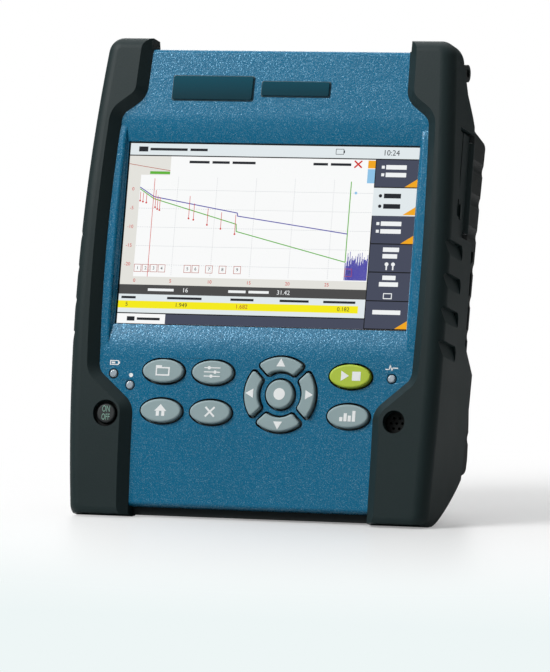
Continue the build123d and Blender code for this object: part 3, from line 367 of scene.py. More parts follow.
class TesterSizes(bpy.types.PropertyGroup):
    """Sizes of the added pieces"""

    screen_width: length_property("Screen width", "Lit width of the screen", 0.108)
    screen_height: length_property("Screen height", "Lit height of the screen", 0.0648)
    print_height: length_property("Print", "Height of the printed signs above a key", 0.00005)
    lens: FloatProperty(
        name="Lens", description="Focal length of the camera in millimetres",
        subtype="DISTANCE_CAMERA", default=332.0)


def finish():
    """Colours chosen for the scene."""
    return bpy.context.scene.tester_finish


def sizes():
    """Sizes chosen for the scene."""
    return bpy.context.scene.tester_sizes


def bow(z):
    """Depth of the bowed front at a height, in millimetres."""
    return PANEL_Y + BOW_RADIUS - sqrt(BOW_RADIUS ** 2 - (z - BOW_Z) ** 2)


def node(material, kind, links=None, **settings):
    """Add a node with its settings, and link or fill its inputs."""
    made = material.node_tree.nodes.new(kind)
    for name, value in settings.items():
        setattr(made, name, value)
    for socket, value in (links or {}).items():
        if isinstance(value, bpy.types.NodeSocket):
            material.node_tree.links.new(value, made.inputs[socket])
        else:
            made.inputs[socket].default_value = value
    return made


def new_material(name):
    """Node material without nodes."""
    material = bpy.data.materials.new(name)
    material.use_nodes = True
    material.node_tree.nodes.clear()
    return material


def close(material, shader):
    """Join a shader to the material's output."""
    node(material, "ShaderNodeOutputMaterial", {"Surface": shader.outputs[0]})
    return material


def flake_paint():
    """Metallic flake paint sprayed on moulded ABS."""
    # A blue coat with single mirror flakes and a fine orange-peel skin that breaks up its shine.
    material = new_material("metallic flake paint")
    place = node(material, "ShaderNodeTexCoord").outputs["Object"]
    cells = node(material, "ShaderNodeTexVoronoi", {
        "Vector": place, "Scale": per_mm(FLAKE), "Randomness": 1.0})
    tone = node(material, "ShaderNodeSeparateColor", {"Color": cells.outputs["Color"]})
    chosen = node(material, "ShaderNodeMapRange", {
        "Value": tone.outputs[0], "From Min": 0.5, "From Max": 1.0, "To Max": 0.68})
    round_off = node(material, "ShaderNodeMapRange", {
        "Value": cells.outputs["Distance"], "From Min": 0.55, "From Max": 0.3})
    flakes = node(material, "ShaderNodeMath", {
        0: chosen.outputs[0], 1: round_off.outputs[0]}, operation="MULTIPLY")
    drift = node(material, "ShaderNodeTexNoise", {
        "Vector": place, "Scale": per_mm(PAINT_DRIFT), "Detail": 2.0})
    depth = node(material, "ShaderNodeMapRange", {
        "Value": drift.outputs["Fac"], "To Min": 0.9, "To Max": 1.08})
    base = node(material, "ShaderNodeMix", {
        SHARE: flakes.outputs[0], FIRST: finish().paint, SECOND: finish().flake}, data_type="RGBA")
    colour = node(material, "ShaderNodeVectorMath", {
        0: base.outputs[MIXED], 1: depth.outputs[0]}, operation="MULTIPLY")
    skin = node(material, "ShaderNodeTexNoise", {
        "Vector": place, "Scale": per_mm(ORANGE_PEEL), "Detail": 3.0})
    bump = node(material, "ShaderNodeBump", {
        "Height": skin.outputs["Fac"], "Strength": 0.3, "Distance": RELIEF})
    shine = node(material, "ShaderNodeMapRange", {
        "Value": tone.outputs[1], "To Min": 0.24, "To Max": 0.32})
    shader = node(material, "ShaderNodeBsdfPrincipled", {
        "Base Color": colour.outputs[0], "Metallic": flakes.outputs[0],
        "Roughness": shine.outputs[0], "Normal": bump.outputs[0], "Specular IOR Level": 0.2})
    return close(material, shader)


def grained(name, colour, grain, rough, relief, vary=0.08, shine=0.3):
    """Moulded or cast skin: a grain of a real size, slightly uneven in tone and gloss."""
    material = new_material(name)
    place = node(material, "ShaderNodeTexCoord").outputs["Object"]
    fine = node(material, "ShaderNodeTexNoise", {
        "Vector": place, "Scale": per_mm(grain), "Detail": 3.0})
    wide = node(material, "ShaderNodeTexNoise", {
        "Vector": place, "Scale": per_mm(MOULD_DRIFT), "Detail": 2.0})
    tone = node(material, "ShaderNodeMapRange", {
        "Value": wide.outputs["Fac"], "To Min": 1 - vary, "To Max": 1 + vary})
    tint = node(material, "ShaderNodeVectorMath", {
        0: tuple(colour)[:3], 1: tone.outputs[0]}, operation="MULTIPLY")
    gloss = node(material, "ShaderNodeMapRange", {
        "Value": wide.outputs["Fac"], "To Min": rough - 0.06, "To Max": rough + 0.06})
    bump = node(material, "ShaderNodeBump", {
        "Height": fine.outputs["Fac"], "Strength": relief, "Distance": RELIEF})
    shader = node(material, "ShaderNodeBsdfPrincipled", {
        "Base Color": tint.outputs[0], "Roughness": gloss.outputs[0], "Normal": bump.outputs[0],
        "Specular IOR Level": shine})
    return close(material, shader)


def turned_steel():
    """Stainless steel, turned on a lathe."""
    # A fine unevenness from the tool breaks up its highlights.
    material = new_material("turned stainless steel")
    place = node(material, "ShaderNodeTexCoord").outputs["Object"]
    rings = node(material, "ShaderNodeTexNoise", {
        "Vector": place, "Scale": per_mm(LATHE_RINGS), "Detail": 4.0})
    gloss = node(material, "ShaderNodeMapRange", {
        "Value": rings.outputs["Fac"], "To Min": 0.22, "To Max": 0.42})
    shader = node(material, "ShaderNodeBsdfPrincipled", {
        "Base Color": srgb("#B9BCC0"), "Metallic": 1.0, "Roughness": gloss.outputs[0]})
    return close(material, shader)


def lens_plastic():
    """Moulded polycarbonate, polished."""
    # A frosted body under a clear glossy skin.
    material = new_material("polished polycarbonate lens")
    place = node(material, "ShaderNodeTexCoord").outputs["Object"]
    haze = node(material, "ShaderNodeTexNoise", {
        "Vector": place, "Scale": per_mm(LENS_HAZE), "Detail": 2.0})
    tone = node(material, "ShaderNodeMapRange", {
        "Value": haze.outputs["Fac"], "To Min": 0.9, "To Max": 1.05})
    tint = node(material, "ShaderNodeVectorMath", {
        0: srgb("#A3B0BA")[:3], 1: tone.outputs[0]}, operation="MULTIPLY")
    shader = node(material, "ShaderNodeBsdfPrincipled", {
        "Base Color": tint.outputs[0], "Roughness": 0.2, "IOR": 1.58, "Coat Weight": 0.6})
    return close(material, shader)


def plate_enamel():
    """Doming resin over a printed plate."""
    # A deep gloss over a colour that darkens towards its lower edge: painted shade for light that
    # falls from above.
    material = new_material("domed resin plate")
    place = node(material, "ShaderNodeTexCoord").outputs["Object"]
    axes = node(material, "ShaderNodeSeparateXYZ", {"Vector": place})
    low, top = (
        (UPRIGHT @ Vector((0, bow(z), z))).z for z in (SCREEN_Z + PLATE_SHADE_LOW, SCREEN_Z + PLATE_SHADE_HIGH))
    # Painted shade: from the plate colour at the top to a darker teal at the lower edge.
    fade = node(material, "ShaderNodeMapRange", {
        "Value": axes.outputs["Z"], "From Min": low, "From Max": top})
    shade = node(material, "ShaderNodeMix", {
        SHARE: fade.outputs[0], FIRST: srgb("#01313C"), SECOND: finish().plate}, data_type="RGBA")
    shader = node(material, "ShaderNodeBsdfPrincipled", {
        "Base Color": shade.outputs[MIXED], "Roughness": 0.16, "Specular IOR Level": 0.16})
    return close(material, shader)


def lit(name, code):
    """Backlit liquid crystal behind a touch film."""
    # It shines by itself in even colours, with a faint film gloss uneven from fingers.
    material = new_material(name)
    place = node(material, "ShaderNodeTexCoord").outputs["Object"]
    smear = node(material, "ShaderNodeTexNoise", {
        "Vector": place, "Scale": per_mm(FINGER_SMEAR), "Detail": 2.0})
    gloss = node(material, "ShaderNodeMapRange", {
        "Value": smear.outputs["Fac"], "To Min": 0.22, "To Max": 0.34})
    shader = node(material, "ShaderNodeBsdfPrincipled", {
        "Base Color": srgb("#000000"), "Roughness": gloss.outputs[0], "Specular IOR Level": 0.1,
        "Emission Color": srgb(code), "Emission Strength": BACKLIGHT})
    return close(material, shader)


def touch_glass():
    """Float glass with a touch film."""
    # Black behind where nothing is lit, with a gloss uneven from fingers.
    material = new_material("touch glass")
    place = node(material, "ShaderNodeTexCoord").outputs["Object"]
    smear = node(material, "ShaderNodeTexNoise", {
        "Vector": place, "Scale": per_mm(FINGER_SMEAR), "Detail": 2.0})
    gloss = node(material, "ShaderNodeMapRange", {
        "Value": smear.outputs["Fac"], "To Min": 0.1, "To Max": 0.2})
    shader = node(material, "ShaderNodeBsdfPrincipled", {
        "Base Color": srgb("#0C1012"), "Roughness": gloss.outputs[0], "IOR": 1.52})
    return close(material, shader)


def printed(name, code):
    """Screen-printed ink."""
    # Flat and slightly chalky, with pinholes too small to see singly.
    return grained(name, srgb(code), grain=0.3, rough=0.5, relief=0.1, vary=0.04)


def dress(material, *names):
    """Give CAD nodes a material."""
    for name in names:
        slots = frame["nodes"][name].data.materials
        slots.clear()
        slots.append(material)


def sheet_matrix(x, z, y, width=1.0, height=1.0, turn=0.0):
    """Place a unit shape, drawn flat, on the front: width across, height up."""
    stood_up = Matrix.Translation((x, y, z)) @ Matrix.Rotation(pi / 2, 4, "X")
    return stood_up @ Matrix.Rotation(turn, 4, "Z") @ Matrix.Diagonal((width, height, 1, 1))


def add_sheet(bm, place):
    """Flat unit square, put in place by a matrix."""
    return bmesh.ops.create_grid(bm, x_segments=1, y_segments=1, size=0.5, matrix=place)["verts"]


def add_bar(bm, x0, z0, x1, z1, y):
    """Flat rectangle on the front."""
    add_sheet(bm, sheet_matrix((x0 + x1) / 2, (z0 + z1) / 2, y, x1 - x0, z1 - z0))


def add_disc(bm, x, z, y, radius, segments=24, turn=0.0, squeeze=1.0):
    """Flat disc, or a polygon with few segments, on the front."""
    place = sheet_matrix(x, z, y, radius, radius * squeeze, turn)
    bmesh.ops.create_circle(bm, cap_ends=True, segments=segments, radius=1.0, matrix=place)


def add_line(bm, start, end, width, y):
    """Flat straight stroke on the front, a little longer than its ends so that corners close."""
    along = Vector(end) - Vector(start)
    turn = -Vector((1, 0)).angle_signed(along)
    middle = (Vector(start) + Vector(end)) / 2
    add_sheet(bm, sheet_matrix(middle.x, middle.y, y, along.length + width * 0.4, width, turn))


def add_frame(bm, x0, z0, x1, z1, width, y):
    """Flat rectangular outline on the front."""
    add_bar(bm, x0, z0, x1, z0 + width, y)
    add_bar(bm, x0, z1 - width, x1, z1, y)
    add_bar(bm, x0, z0 + width, x0 + width, z1 - width, y)
    add_bar(bm, x1 - width, z0 + width, x1, z1 - width, y)


def add_corner(bm, x, z, y, width, height):
    """Flat right triangle on the front, in the lower right corner of a field."""
    middle = Vector((x - width / 2, y, z + height / 2))
    made = add_sheet(bm, sheet_matrix(middle.x, middle.z, y, width, height))
    parts = dict.fromkeys(part for v in made for part in (v, *v.link_edges, *v.link_faces))
    bmesh.ops.bisect_plane(
        bm, geom=list(parts), plane_co=middle, plane_no=(height, 0, -width), clear_inner=True,
        dist=CORNER_WELD)


def add_words(bm, text, x, z, y, height, squeeze=1.0):
    """Flat figures on the front, with their middle at a place, narrowed by a share."""
    curve = bpy.data.curves.new("figures", "FONT")
    curve.body = text
    # The font's size is larger than the height of its figures.
    curve.size = height * 1.4
    curve.align_x = "CENTER"
    curve.align_y = "CENTER"
    curve.resolution_u = 3
    holder = bpy.data.objects.new("figures", curve)
    mesh = bpy.data.meshes.new_from_object(holder)
    mesh.transform(sheet_matrix(x, z, y, squeeze))
    bm.from_mesh(mesh)
    bpy.data.objects.remove(holder)
    bpy.data.curves.remove(curve)
    bpy.data.meshes.remove(mesh)


def raised(bm, thickness):
    """Turn flat shapes into thin closed ones that stand out to the front."""
    made = bmesh.ops.extrude_face_region(bm, geom=bm.faces[:])
    corners = [part for part in made["geom"] if isinstance(part, bmesh.types.BMVert)]
    bmesh.ops.translate(bm, verts=corners, vec=(0, -thickness, 0))
    bmesh.ops.recalc_face_normals(bm, faces=bm.faces[:])


def rounded(bm, edges, radius, segments):
    """Round edges, and return the new faces."""
    return bmesh.ops.bevel(
        bm, geom=edges, offset=radius, segments=segments, profile=0.5, affect="EDGES",
        material=-1)["faces"]


def piece(name, bm, material, body):
    """Make a piece from a mesh in drawing millimetres and let it ride on a body."""
    bmesh.ops.transform(bm, matrix=UPRIGHT, verts=bm.verts[:])
    mesh = bpy.data.meshes.new(name)
    bm.to_mesh(mesh)
    bm.free()
    mesh.materials.append(material)
    made = bpy.data.objects.new(name, mesh)
    bpy.context.scene.collection.objects.link(made)
    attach(made, body)
    return made


def is_screen_rim(edge):
    """Whether an edge of the front cover runs along a wall beside the screen."""
    beside = all(RIM_NEAR < abs(v.co.x) < RIM_FAR and v.co.y < SCOOP_Y for v in edge.verts)
    return beside and RIM_BEND_LEAST < edge.calc_face_angle() < RIM_BEND_MOST


def is_opening_wall(face):
    """Whether a face of the front cover is a wall of a key's or lamp's opening."""
    middle = face.calc_center_median()
    at_keys = abs(middle.x) < SCOOP_HALF and OPENINGS_LOW < middle.z < OPENINGS_HIGH
    return at_keys and abs(face.normal.y) < WALL_LEAN


def is_mouth(edge):
    """Whether an edge of the front cover joins its front to the wall of an opening."""
    turns = sorted(round(face.normal.y) for face in edge.link_faces) == [-1, 0]
    return turns and any(is_opening_wall(face) for face in edge.link_faces)


def ease_crease(bm, height):
    """Round the crease that runs across the front at a height, without a visible step."""
    for step in range(-EASE_CUTS, EASE_CUTS + 1):
        bmesh.ops.bisect_plane(
            bm, geom=bm.verts[:] + bm.edges[:] + bm.faces[:], plane_no=(0, 0, 1), dist=CUT_WELD,
            plane_co=(0, 0, height + EASE_REACH * step / EASE_CUTS))
    for x in (-SCOOP_HALF, SCOOP_HALF):
        near = [f for f in bm.faces if abs(f.calc_center_median().z - height) < EASE_REACH]
        parts = dict.fromkeys(part for f in near for part in (f, *f.verts, *f.edges))
        bmesh.ops.bisect_plane(
            bm, geom=list(parts), plane_co=(x, 0, 0), plane_no=(1, 0, 0), dist=CUT_WELD)
    bend = CREASE_SLOPE + abs(height - BOW_Z) / BOW_RADIUS
    for vert in bm.verts:
        off = abs(vert.co.z - height)
        if off < EASE_REACH and abs(vert.co.x) < SCOOP_HALF + NEAR and vert.co.y < SCOOP_Y:
            vert.co.y += bend * (EASE_REACH - off) ** 2 / (4 * EASE_REACH)


class TESTER_OT_front(bpy.types.Operator):
    """Paint the front cover, ease its creases and round the mouths of its openings"""

    bl_idname = "tester.front"
    bl_label = "Front cover"

    def execute(self, context):
        bm = bmesh.new()
        bm.from_mesh(frame["nodes"]["front_cover"].data)
        bmesh.ops.remove_doubles(bm, verts=bm.verts[:], dist=WELD)
        bmesh.ops.transform(bm, matrix=UPRIGHT.inverted(), verts=bm.verts[:])
        rounded(bm, [edge for edge in bm.edges if is_screen_rim(edge)], RIM_ROUND, 4)
        for height in CREASES:
            ease_crease(bm, height)
        bm.normal_update()
        # The walls of the openings turn black: partly bare ABS, partly painted shade in the gaps
        # round the keys.
        for face in bm.faces:
            face.smooth = True
            face.material_index = BARE_AND_SHADE if is_opening_wall(face) else PAINTED
        # Their rounded mouths turn black as well: painted shade that widens the dark gap round each
        # key.
        for face in rounded(bm, [edge for edge in bm.edges if is_mouth(edge)], MOUTH_ROUND, 2):
            face.smooth = True
            face.material_index = BARE_AND_SHADE
        skin = piece("front_skin", bm, flake_paint(), "housing")
        # Black on the walls of the openings is partly bare moulded ABS and partly painted shade in
        # the gaps round the keys; on their rounded mouths it is painted shade.
        skin.data.materials.append(grained(
            "black ABS and painted shade", srgb("#090D0E"), grain=0.5, rough=0.6, relief=0.05, vary=0.05,
            shine=0.1))
        skin.data.set_sharp_from_angle(angle=SHARP_BEND)
        even = skin.modifiers.new("even shading", "WEIGHTED_NORMAL")
        even.keep_sharp = True
        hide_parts("front_cover")
        return {"FINISHED"}


class TESTER_OT_shell(bpy.types.Operator):
    """Finish the rear cover, bumpers, doors and stand"""

    bl_idname = "tester.shell"
    bl_label = "Shell finishes"

    def execute(self, context):
        # Thermoplastic rubber, moulded: soft broad highlights and a fine dry grain.
        rubber = grained(
            "moulded thermoplastic rubber", finish().rubber, grain=0.7, rough=0.52, relief=0.18,
            vary=0.1, shine=0.2)
        dress(rubber, "left_bumper", "right_bumper", "left_door", "right_door", "stand_shoe",
              "display_gasket")
        # ABS, moulded in a spark-eroded tool: an even pebbled grain that kills reflections.
        casing = grained(
            "spark-grained ABS", finish().casing, grain=0.9, rough=0.56, relief=0.25, vary=0.06,
            shine=0.2)
        dress(casing, "rear_cover", "module_case", "module_base", "battery_cover", "stand",
              "strap_lugs")
        # ABS, moulded in a polished tool and dyed through: close to black, with a dull shine.
        black = grained(
            "dyed ABS", srgb("#070B0B"), grain=0.4, rough=0.55, relief=0.05, vary=0.05, shine=0.1)
        dress(black, "battery_pack", "fibre_spool", "speaker", "power_collar", "speaker_grille",
              "usb_tongues")
        return {"FINISHED"}


class TESTER_OT_hardware(bpy.types.Operator):
    """Finish the metal parts, sockets and boards"""

    bl_idname = "tester.hardware"
    bl_label = "Hardware finishes"

    def execute(self, context):
        dress(turned_steel(), "module_screws", "battery_screws", "door_pins", "stand_pin",
              "usb_sockets", "dc_socket", "dc_pin", "key_switches", "laser_block")
        # Glass-fibre board under solder mask: dull green with a fine uneven skin.
        board = grained("solder-masked board", srgb("#12492B"), grain=0.5, rough=0.45, relief=0.15)
        dress(board, "main_board", "keypad_board", "module_board")
        # Nylon, moulded and dyed: a waxy even shine.
        nylon = grained("dyed nylon", srgb("#1F7A46"), grain=0.6, rough=0.38, relief=0.1)
        dress(nylon, "optical_adapter")
        # Zirconia, sintered and ground: smooth, pale and glossy.
        zirconia = grained(
            "ground zirconia", srgb("#E9E7E0"), grain=0.3, rough=0.2, relief=0.03, vary=0.02)
        dress(zirconia, "ferrule_sleeve")
        return {"FINISHED"}


class TESTER_OT_keys(bpy.types.Operator):
    """Finish the keys and lamps"""

    bl_idname = "tester.keys"
    bl_label = "Key and lamp finishes"

    def execute(self, context):
        # Silicone rubber keys under a sprayed soft lacquer: satin, with a very fine tooth.
        grey = grained(
            "lacquered silicone", finish().key, grain=0.5, rough=0.42, relief=0.12, vary=0.05)
        dress(grey, *GREY_KEYS)
        lime = grained(
            "lime lacquered silicone", finish().start, grain=0.5, rough=0.42, relief=0.12,
            vary=0.05)
        dress(lime, "start_key")
        # Silicone rubber, dyed and bare: duller than the lacquer.
        black = grained(
            "black silicone", srgb("#171C1D"), grain=0.5, rough=0.5, relief=0.15, vary=0.05)
        dress(black, "power_key")
        dress(lens_plastic(), "charge_lamp", "on_lamp", "testing_lamp")
        return {"FINISHED"}


class TESTER_OT_plates(bpy.types.Operator):
    """Make the two bare name plates on the header"""

    bl_idname = "tester.plates"
    bl_label = "Bare plates"

    def execute(self, context):
        # A thin dark line round the plate, duller than the plate.
        rim = grained(
            "dark plate rim", srgb("#2A4A55"), grain=0.4, rough=0.35, relief=0.05)
        layers = (
            ("_rim", PLATE_RIM_WIDTH, PLATE_RIM_RISE, rim), ("", 0.0, PLATE_RISE, plate_enamel()))
        z = SCREEN_Z + PLATE_UP
        tilt = Matrix.Rotation(-(z - BOW_Z) / BOW_RADIUS, 4, "X")
        for name, x, width, height in PLATES:
            for part, grow, rise, material in layers:
                bm = bmesh.new()
                bmesh.ops.create_cube(bm, size=1.0)
                box = (width + 2 * grow, rise + PLATE_SUNK, height + 2 * grow)
                bmesh.ops.scale(bm, vec=box, verts=bm.verts[:])
                corners = [e for e in bm.edges if e.verts[0].co.y * e.verts[1].co.y < 0]
                rounded(bm, corners, PLATE_CORNER, 4)
                front = [e for e in bm.edges if max(v.co.y for v in e.verts) < 0]
                rounded(bm, front, PLATE_EDGE, 3)
                place = Matrix.Translation((x, bow(z) - rise / 2 + PLATE_SUNK / 2, z)) @ tilt
                bmesh.ops.transform(bm, matrix=place, verts=bm.verts[:])
                piece(name + part, bm, material, "housing")
        return {"FINISHED"}


# Drawings of the signs, in millimetres round their middles


def draw_folder(bm, x, z, y):
    """Outline of a folder with its tab."""
    add_frame(bm, x - 2.6, z - 1.8, x + 2.6, z + 1.3, 0.5, y)
    add_bar(bm, x - 2.6, z + 1.3, x - 0.4, z + 1.9, y)


def draw_sliders(bm, x, z, y):
    """Three sliders with their knobs."""
    for row, knob in ((1.5, -1.2), (0.0, 1.1), (-1.5, -0.3)):
        add_bar(bm, x - 3.0, z + row - 0.18, x + knob - 0.55, z + row + 0.18, y)
        add_bar(bm, x + knob + 0.55, z + row - 0.18, x + 3.0, z + row + 0.18, y)
        add_disc(bm, x + knob, z + row, y, 0.6, 16)


def draw_house(bm, x, z, y):
    """Roof on two walls with a door between."""
    add_disc(bm, x, z + 0.6, y, 2.6, TRIANGLE, squeeze=0.62)
    add_bar(bm, x - 1.6, z - 2.0, x - 0.45, z - 0.25, y)
    add_bar(bm, x + 0.45, z - 2.0, x + 1.6, z - 0.25, y)


def draw_cross(bm, x, z, y):
    """Diagonal cross of one long and two short strokes."""
    add_line(bm, (x - 1.6, z - 1.6), (x + 1.6, z + 1.6), 0.7, y)
    add_line(bm, (x - 1.6, z + 1.6), (x - 0.35, z + 0.35), 0.7, y)
    add_line(bm, (x + 0.35, z - 0.35), (x + 1.6, z - 1.6), 0.7, y)


def draw_run(bm, x, z, y):
    """Triangle and square for start and stop."""
    add_disc(bm, x - 2.2, z, y, 2.1, TRIANGLE, -pi / 2, 0.9)
    add_bar(bm, x + 0.9, z - 1.6, x + 4.0, z + 1.6, y)


def draw_chart(bm, x, z, y):
    """Four columns."""
    for step, high in enumerate((1.5, 2.9, 2.1, 3.8)):
        along = step * 1.55
        add_bar(bm, x - 2.9 + along, z - 1.9, x - 1.75 + along, z - 1.9 + high, y)


def draw_enter(bm, x, z, y):
    """Large dot."""
    add_disc(bm, x, z, y, 2.1)


def draw_switch(bm, x, z, y):
    """ON over OFF."""
    add_words(bm, "ON", x, z + 1.45, y, 2.3, 0.6)
    add_words(bm, "OFF", x, z - 1.45, y, 2.3, 0.55)


def draw_battery(bm, x, z, y):
    """Battery with its pole and some charge."""
    add_frame(bm, x - 1.8, z - 0.85, x + 1.5, z + 0.85, 0.32, y)
    add_bar(bm, x + 1.5, z - 0.4, x + 1.9, z + 0.4, y)
    add_bar(bm, x - 1.2, z - 0.3, x + 0.1, z + 0.3, y)


def draw_dot(bm, x, z, y):
    """Small dot."""
    add_disc(bm, x, z, y, 0.75, 20)


def draw_pulse(bm, x, z, y):
    """Line with a pulse."""
    points = ((-2.2, -0.6), (-0.9, -0.6), (-0.6, 0.9), (0.1, -0.9), (0.5, -0.1), (2.2, -0.1))
    places = [(x + across, z + up) for across, up in points]
    for first, second in zip(places, places[1:]):
        add_line(bm, first, second, 0.36, y)


# Signs on the white-printed keys and by the lamps
KEY_SIGNS = (
    ("file", FILE_AT, draw_folder), ("setup", SETUP_AT, draw_sliders),
    ("home", HOME_AT, draw_house), ("cancel", CANCEL_AT, draw_cross),
    ("start", START_AT, draw_run), ("results", RESULTS_AT, draw_chart),
    ("enter", PAD_AT, draw_enter))
LAMP_SIGNS = (
    ("charge", CHARGE_SIGN_AT, draw_battery), ("on", ON_SIGN_AT, draw_dot),
    ("testing", TESTING_SIGN_AT, draw_pulse))


def sign(name, at, draw, ink, proud, body):
    """Print a drawing on a key or on the front, with its middle at a place."""
    x, z = at[0], SCREEN_Z + at[1]
    bm = bmesh.new()
    draw(bm, x, z, bow(z) - proud + PRINT_SUNK)
    raised(bm, sizes().print_height * MM_PER_M + PRINT_SUNK)
    piece(name + "_sign", bm, ink, body)


class TESTER_OT_signs(bpy.types.Operator):
    """Print the plain signs on the keys and by the lamps"""

    bl_idname = "tester.signs"
    bl_label = "Key signs"

    def execute(self, context):
        white = printed("white key ink", "#F4F6F6")
        green = printed("green key ink", "#7FA898")
        for name, at, draw in KEY_SIGNS:
            sign(name, at, draw, white, KEY_PROUD, name + "_key")
        for name, turn in ARROWS:
            at = (PAD_AT[0] + RING_MIDDLE * cos(turn), PAD_AT[1] + RING_MIDDLE * sin(turn))

            def draw_arrow(bm, x, z, y, turn=turn):
                add_disc(bm, x, z, y, 1.9, TRIANGLE, turn - pi / 2)

            sign(name, at, draw_arrow, white, KEY_PROUD, name + "_key")
        sign("power", POWER_AT, draw_switch, green, POWER_PROUD, "power_key")
        for name, at, draw in LAMP_SIGNS:
            sign(name, at, draw, white, 0.0, "housing")
        return {"FINISHED"}


def on_screen(u, v):
    """Place across and up on the drawing of a point of the screen's picture."""
    width = sizes().screen_width * MM_PER_M
    height = sizes().screen_height * MM_PER_M
    return (u - 0.5) * width, SCREEN_Z + (0.5 - v) * height


def field(left, top, right, bottom):
    """Lower left and upper right corner on the drawing of a field of the picture."""
    return *on_screen(left, bottom), *on_screen(right, top)


def draw_film(bm, name, y):
    """Draw what one colour of the screen's picture holds."""
    for edges in FIELDS.get(name, ()):
        add_bar(bm, *field(*edges), y)
    for *edges, width in OUTLINES.get(name, ()):
        add_frame(bm, *field(*edges), width, y)
    for points, width, lift in STROKES.get(name, ()):
        places = [on_screen(*point) for point in points]
        for first, second in zip(places, places[1:]):
            add_line(bm, first, second, width, y - lift)
    for u, v, radius, segments, lift in DOTS.get(name, ()):
        add_disc(bm, *on_screen(u, v), y - lift, radius, segments)
    for text, u, v, height in FIGURES.get(name, ()):
        add_words(bm, text, *on_screen(u, v), y, height)
    if name == "orange":
        for low in CORNERED:
            add_corner(bm, *on_screen(1.0, low - RULE), y, CORNER_WIDTH, CORNER_HEIGHT)


class TESTER_OT_screen(bpy.types.Operator):
    """Draw a plain trace picture on the screen"""

    bl_idname = "tester.screen"
    bl_label = "Screen picture"

    def execute(self, context):
        for name, code, level in FILMS:
            bm = bmesh.new()
            draw_film(bm, name, GLASS_Y - FILM * level)
            raised(bm, FILM)
            pixels = lit("backlit " + name + " pixels", code)
            piece("screen_" + name, bm, pixels, "housing")
        dress(touch_glass(), "display_window", "display_panel")
        return {"FINISHED"}


def floor_acrylic():
    """White acrylic sheet."""
    # Pale, with a weak shine and the object's soft shadow. Away from the object the camera sees it
    # as white as the background, a little cooler in front, and it throws back little light.
    material = new_material("white acrylic floor")
    place = node(material, "ShaderNodeTexCoord").outputs["Object"]
    beside = node(material, "ShaderNodeVectorMath", {
        0: place, 1: SHADOW_MIDDLE}, operation="SUBTRACT")
    far = node(material, "ShaderNodeVectorMath", {0: beside.outputs[0]}, operation="LENGTH")
    fade = node(material, "ShaderNodeMapRange", {
        "Value": far.outputs["Value"], "From Min": SHADOW_NEAR, "From Max": SHADOW_FAR,
        "To Min": WHITE_LEAST}, interpolation_type="SMOOTHSTEP")
    rays = node(material, "ShaderNodeLightPath")
    share = node(material, "ShaderNodeMath", {
        0: fade.outputs[0], 1: rays.outputs["Is Camera Ray"]}, operation="MULTIPLY")
    pale = node(material, "ShaderNodeMix", {
        SHARE: rays.outputs["Is Diffuse Ray"], FIRST: srgb("#F6F7F7"), SECOND: srgb("#8F9292")},
        data_type="RGBA")
    sheet = node(material, "ShaderNodeBsdfPrincipled", {
        "Base Color": pale.outputs[MIXED], "Roughness": 0.3, "Specular IOR Level": 0.15})
    depth = node(material, "ShaderNodeSeparateXYZ", {"Vector": place}).outputs["Y"]
    front = node(material, "ShaderNodeMapRange", {
        "Value": depth, "From Min": COOL_NEAR, "From Max": COOL_FAR})
    cool = node(material, "ShaderNodeMix", {
        SHARE: front.outputs[0], FIRST: srgb("#FFFFFF"), SECOND: srgb("#EEF6F6")}, data_type="RGBA")
    glow = node(material, "ShaderNodeEmission", {"Color": cool.outputs[MIXED], "Strength": 1.0})
    both = node(material, "ShaderNodeMixShader", {
        0: share.outputs[0], 1: sheet.outputs[0], 2: glow.outputs[0]})
    return close(material, both)


def light_tent():
    """World in which the camera sees white all round."""
    # Shine and light come from a tent that is bright above and dim below.
    world = bpy.data.worlds.new("studio")
    world.use_nodes = True
    world.node_tree.nodes.clear()
    rays = node(world, "ShaderNodeLightPath")
    seen = node(world, "ShaderNodeMath", {
        0: rays.outputs["Is Camera Ray"], 1: rays.outputs["Is Transmission Ray"]},
        operation="MAXIMUM")
    way = node(world, "ShaderNodeTexCoord").outputs["Generated"]
    rise = node(world, "ShaderNodeSeparateXYZ", {"Vector": way}).outputs["Z"]
    tent = node(world, "ShaderNodeMapRange", {
        "Value": rise, "From Min": TENT_LOW, "From Max": TENT_HIGH, "To Min": TENT_DIM,
        "To Max": TENT_BRIGHT}, interpolation_type="SMOOTHSTEP")
    shiny = node(world, "ShaderNodeMath", {
        0: rays.outputs["Is Glossy Ray"], 1: tent.outputs[0]}, operation="MULTIPLY")
    dull = node(world, "ShaderNodeMath", {
        0: tent.outputs[0], 1: TENT_DIFFUSE}, operation="MULTIPLY")
    inside = node(world, "ShaderNodeMath", {
        0: shiny.outputs[0], 1: dull.outputs[0]}, operation="MAXIMUM")
    strength = node(world, "ShaderNodeMath", {
        0: seen.outputs[0], 1: inside.outputs[0]}, operation="MAXIMUM")
    back = node(world, "ShaderNodeBackground", {
        "Color": srgb("#FFFFFF"), "Strength": strength.outputs[0]})
    node(world, "ShaderNodeOutputWorld", {"Surface": back.outputs[0]})
    return world


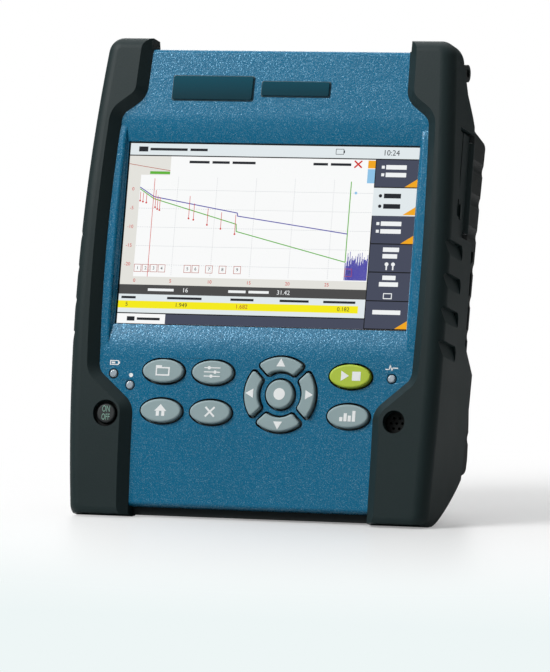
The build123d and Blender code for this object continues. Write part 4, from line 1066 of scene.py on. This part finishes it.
class TESTER_OT_stage(bpy.types.Operator):
    """Lay the floor, light the studio and set the camera"""

    bl_idname = "tester.stage"
    bl_label = "Studio"

    def execute(self, context):
        scene = context.scene
        bm = bmesh.new()
        bmesh.ops.create_grid(bm, x_segments=1, y_segments=1, size=FLOOR_HALF)
        mesh = bpy.data.meshes.new("floor")
        bm.to_mesh(mesh)
        bm.free()
        floor = bpy.data.objects.new("floor", mesh)
        scene.collection.objects.link(floor)
        mesh.materials.append(floor_acrylic())
        scene.world = light_tent()

        target = UPRIGHT @ Vector((0, 0, SCREEN_Z))
        for name, place, size, power in LAMPS:
            lamp = bpy.data.lights.new(name, "AREA")
            lamp.shape = "RECTANGLE"
            lamp.size, lamp.size_y = size
            lamp.energy = power
            holder = bpy.data.objects.new(name, lamp)
            holder.location = place
            holder.rotation_euler = (target - Vector(place)).to_track_quat("-Z", "Y").to_euler()
            scene.collection.objects.link(holder)

        forward = Vector((
            -sin(AZIMUTH) * cos(ELEVATION), cos(AZIMUTH) * cos(ELEVATION), -sin(ELEVATION)))
        right = forward.cross(Vector((0, 0, 1))).normalized()
        above = right.cross(forward)
        lens = bpy.data.cameras.new("camera")
        lens.sensor_fit = "AUTO"
        lens.sensor_width = SENSOR
        lens.lens = sizes().lens
        lens.clip_end = CLIP_END
        camera = bpy.data.objects.new("camera", lens)
        camera.location = target + right * ASIDE - above * BELOW - forward * AWAY
        camera.rotation_euler = forward.to_track_quat("-Z", "Y").to_euler()
        scene.collection.objects.link(camera)
        scene.camera = camera
        scene.view_settings.view_transform = "Standard"
        return {"FINISHED"}


STEPS = (
    TESTER_OT_front, TESTER_OT_shell, TESTER_OT_hardware, TESTER_OT_keys, TESTER_OT_plates,
    TESTER_OT_signs, TESTER_OT_screen, TESTER_OT_stage)


class TESTER_PT_panel(bpy.types.Panel):
    """Sizes, colours and steps of the fibre tester"""

    bl_idname = "TESTER_PT_panel"
    bl_label = "Fibre Tester"
    bl_space_type = "VIEW_3D"
    bl_region_type = "UI"
    bl_category = "Fibre Tester"

    def draw(self, context):
        for group in (finish(), sizes()):
            box = self.layout.box()
            for name in group.__annotations__:
                box.prop(group, name)
        for step in STEPS:
            self.layout.operator(step.bl_idname)


CLASSES = (TesterFinish, TesterSizes, *STEPS, TESTER_PT_panel)


def register():
    """Register the classes and hang the properties on the scene."""
    for kind in CLASSES:
        bpy.utils.register_class(kind)
    bpy.types.Scene.tester_finish = PointerProperty(type=TesterFinish)
    bpy.types.Scene.tester_sizes = PointerProperty(type=TesterSizes)


def unregister():
    """Take the properties off the scene and unregister the classes."""
    del bpy.types.Scene.tester_sizes
    del bpy.types.Scene.tester_finish
    for kind in reversed(CLASSES):
        bpy.utils.unregister_class(kind)


def main():
    """Build the scene step by step."""
    register()
    bpy.ops.tester.front()
    bpy.ops.tester.shell()
    bpy.ops.tester.hardware()
    bpy.ops.tester.keys()
    bpy.ops.tester.plates()
    bpy.ops.tester.signs()
    bpy.ops.tester.screen()
    bpy.ops.tester.stage()


if __name__ == "__main__":
    main()
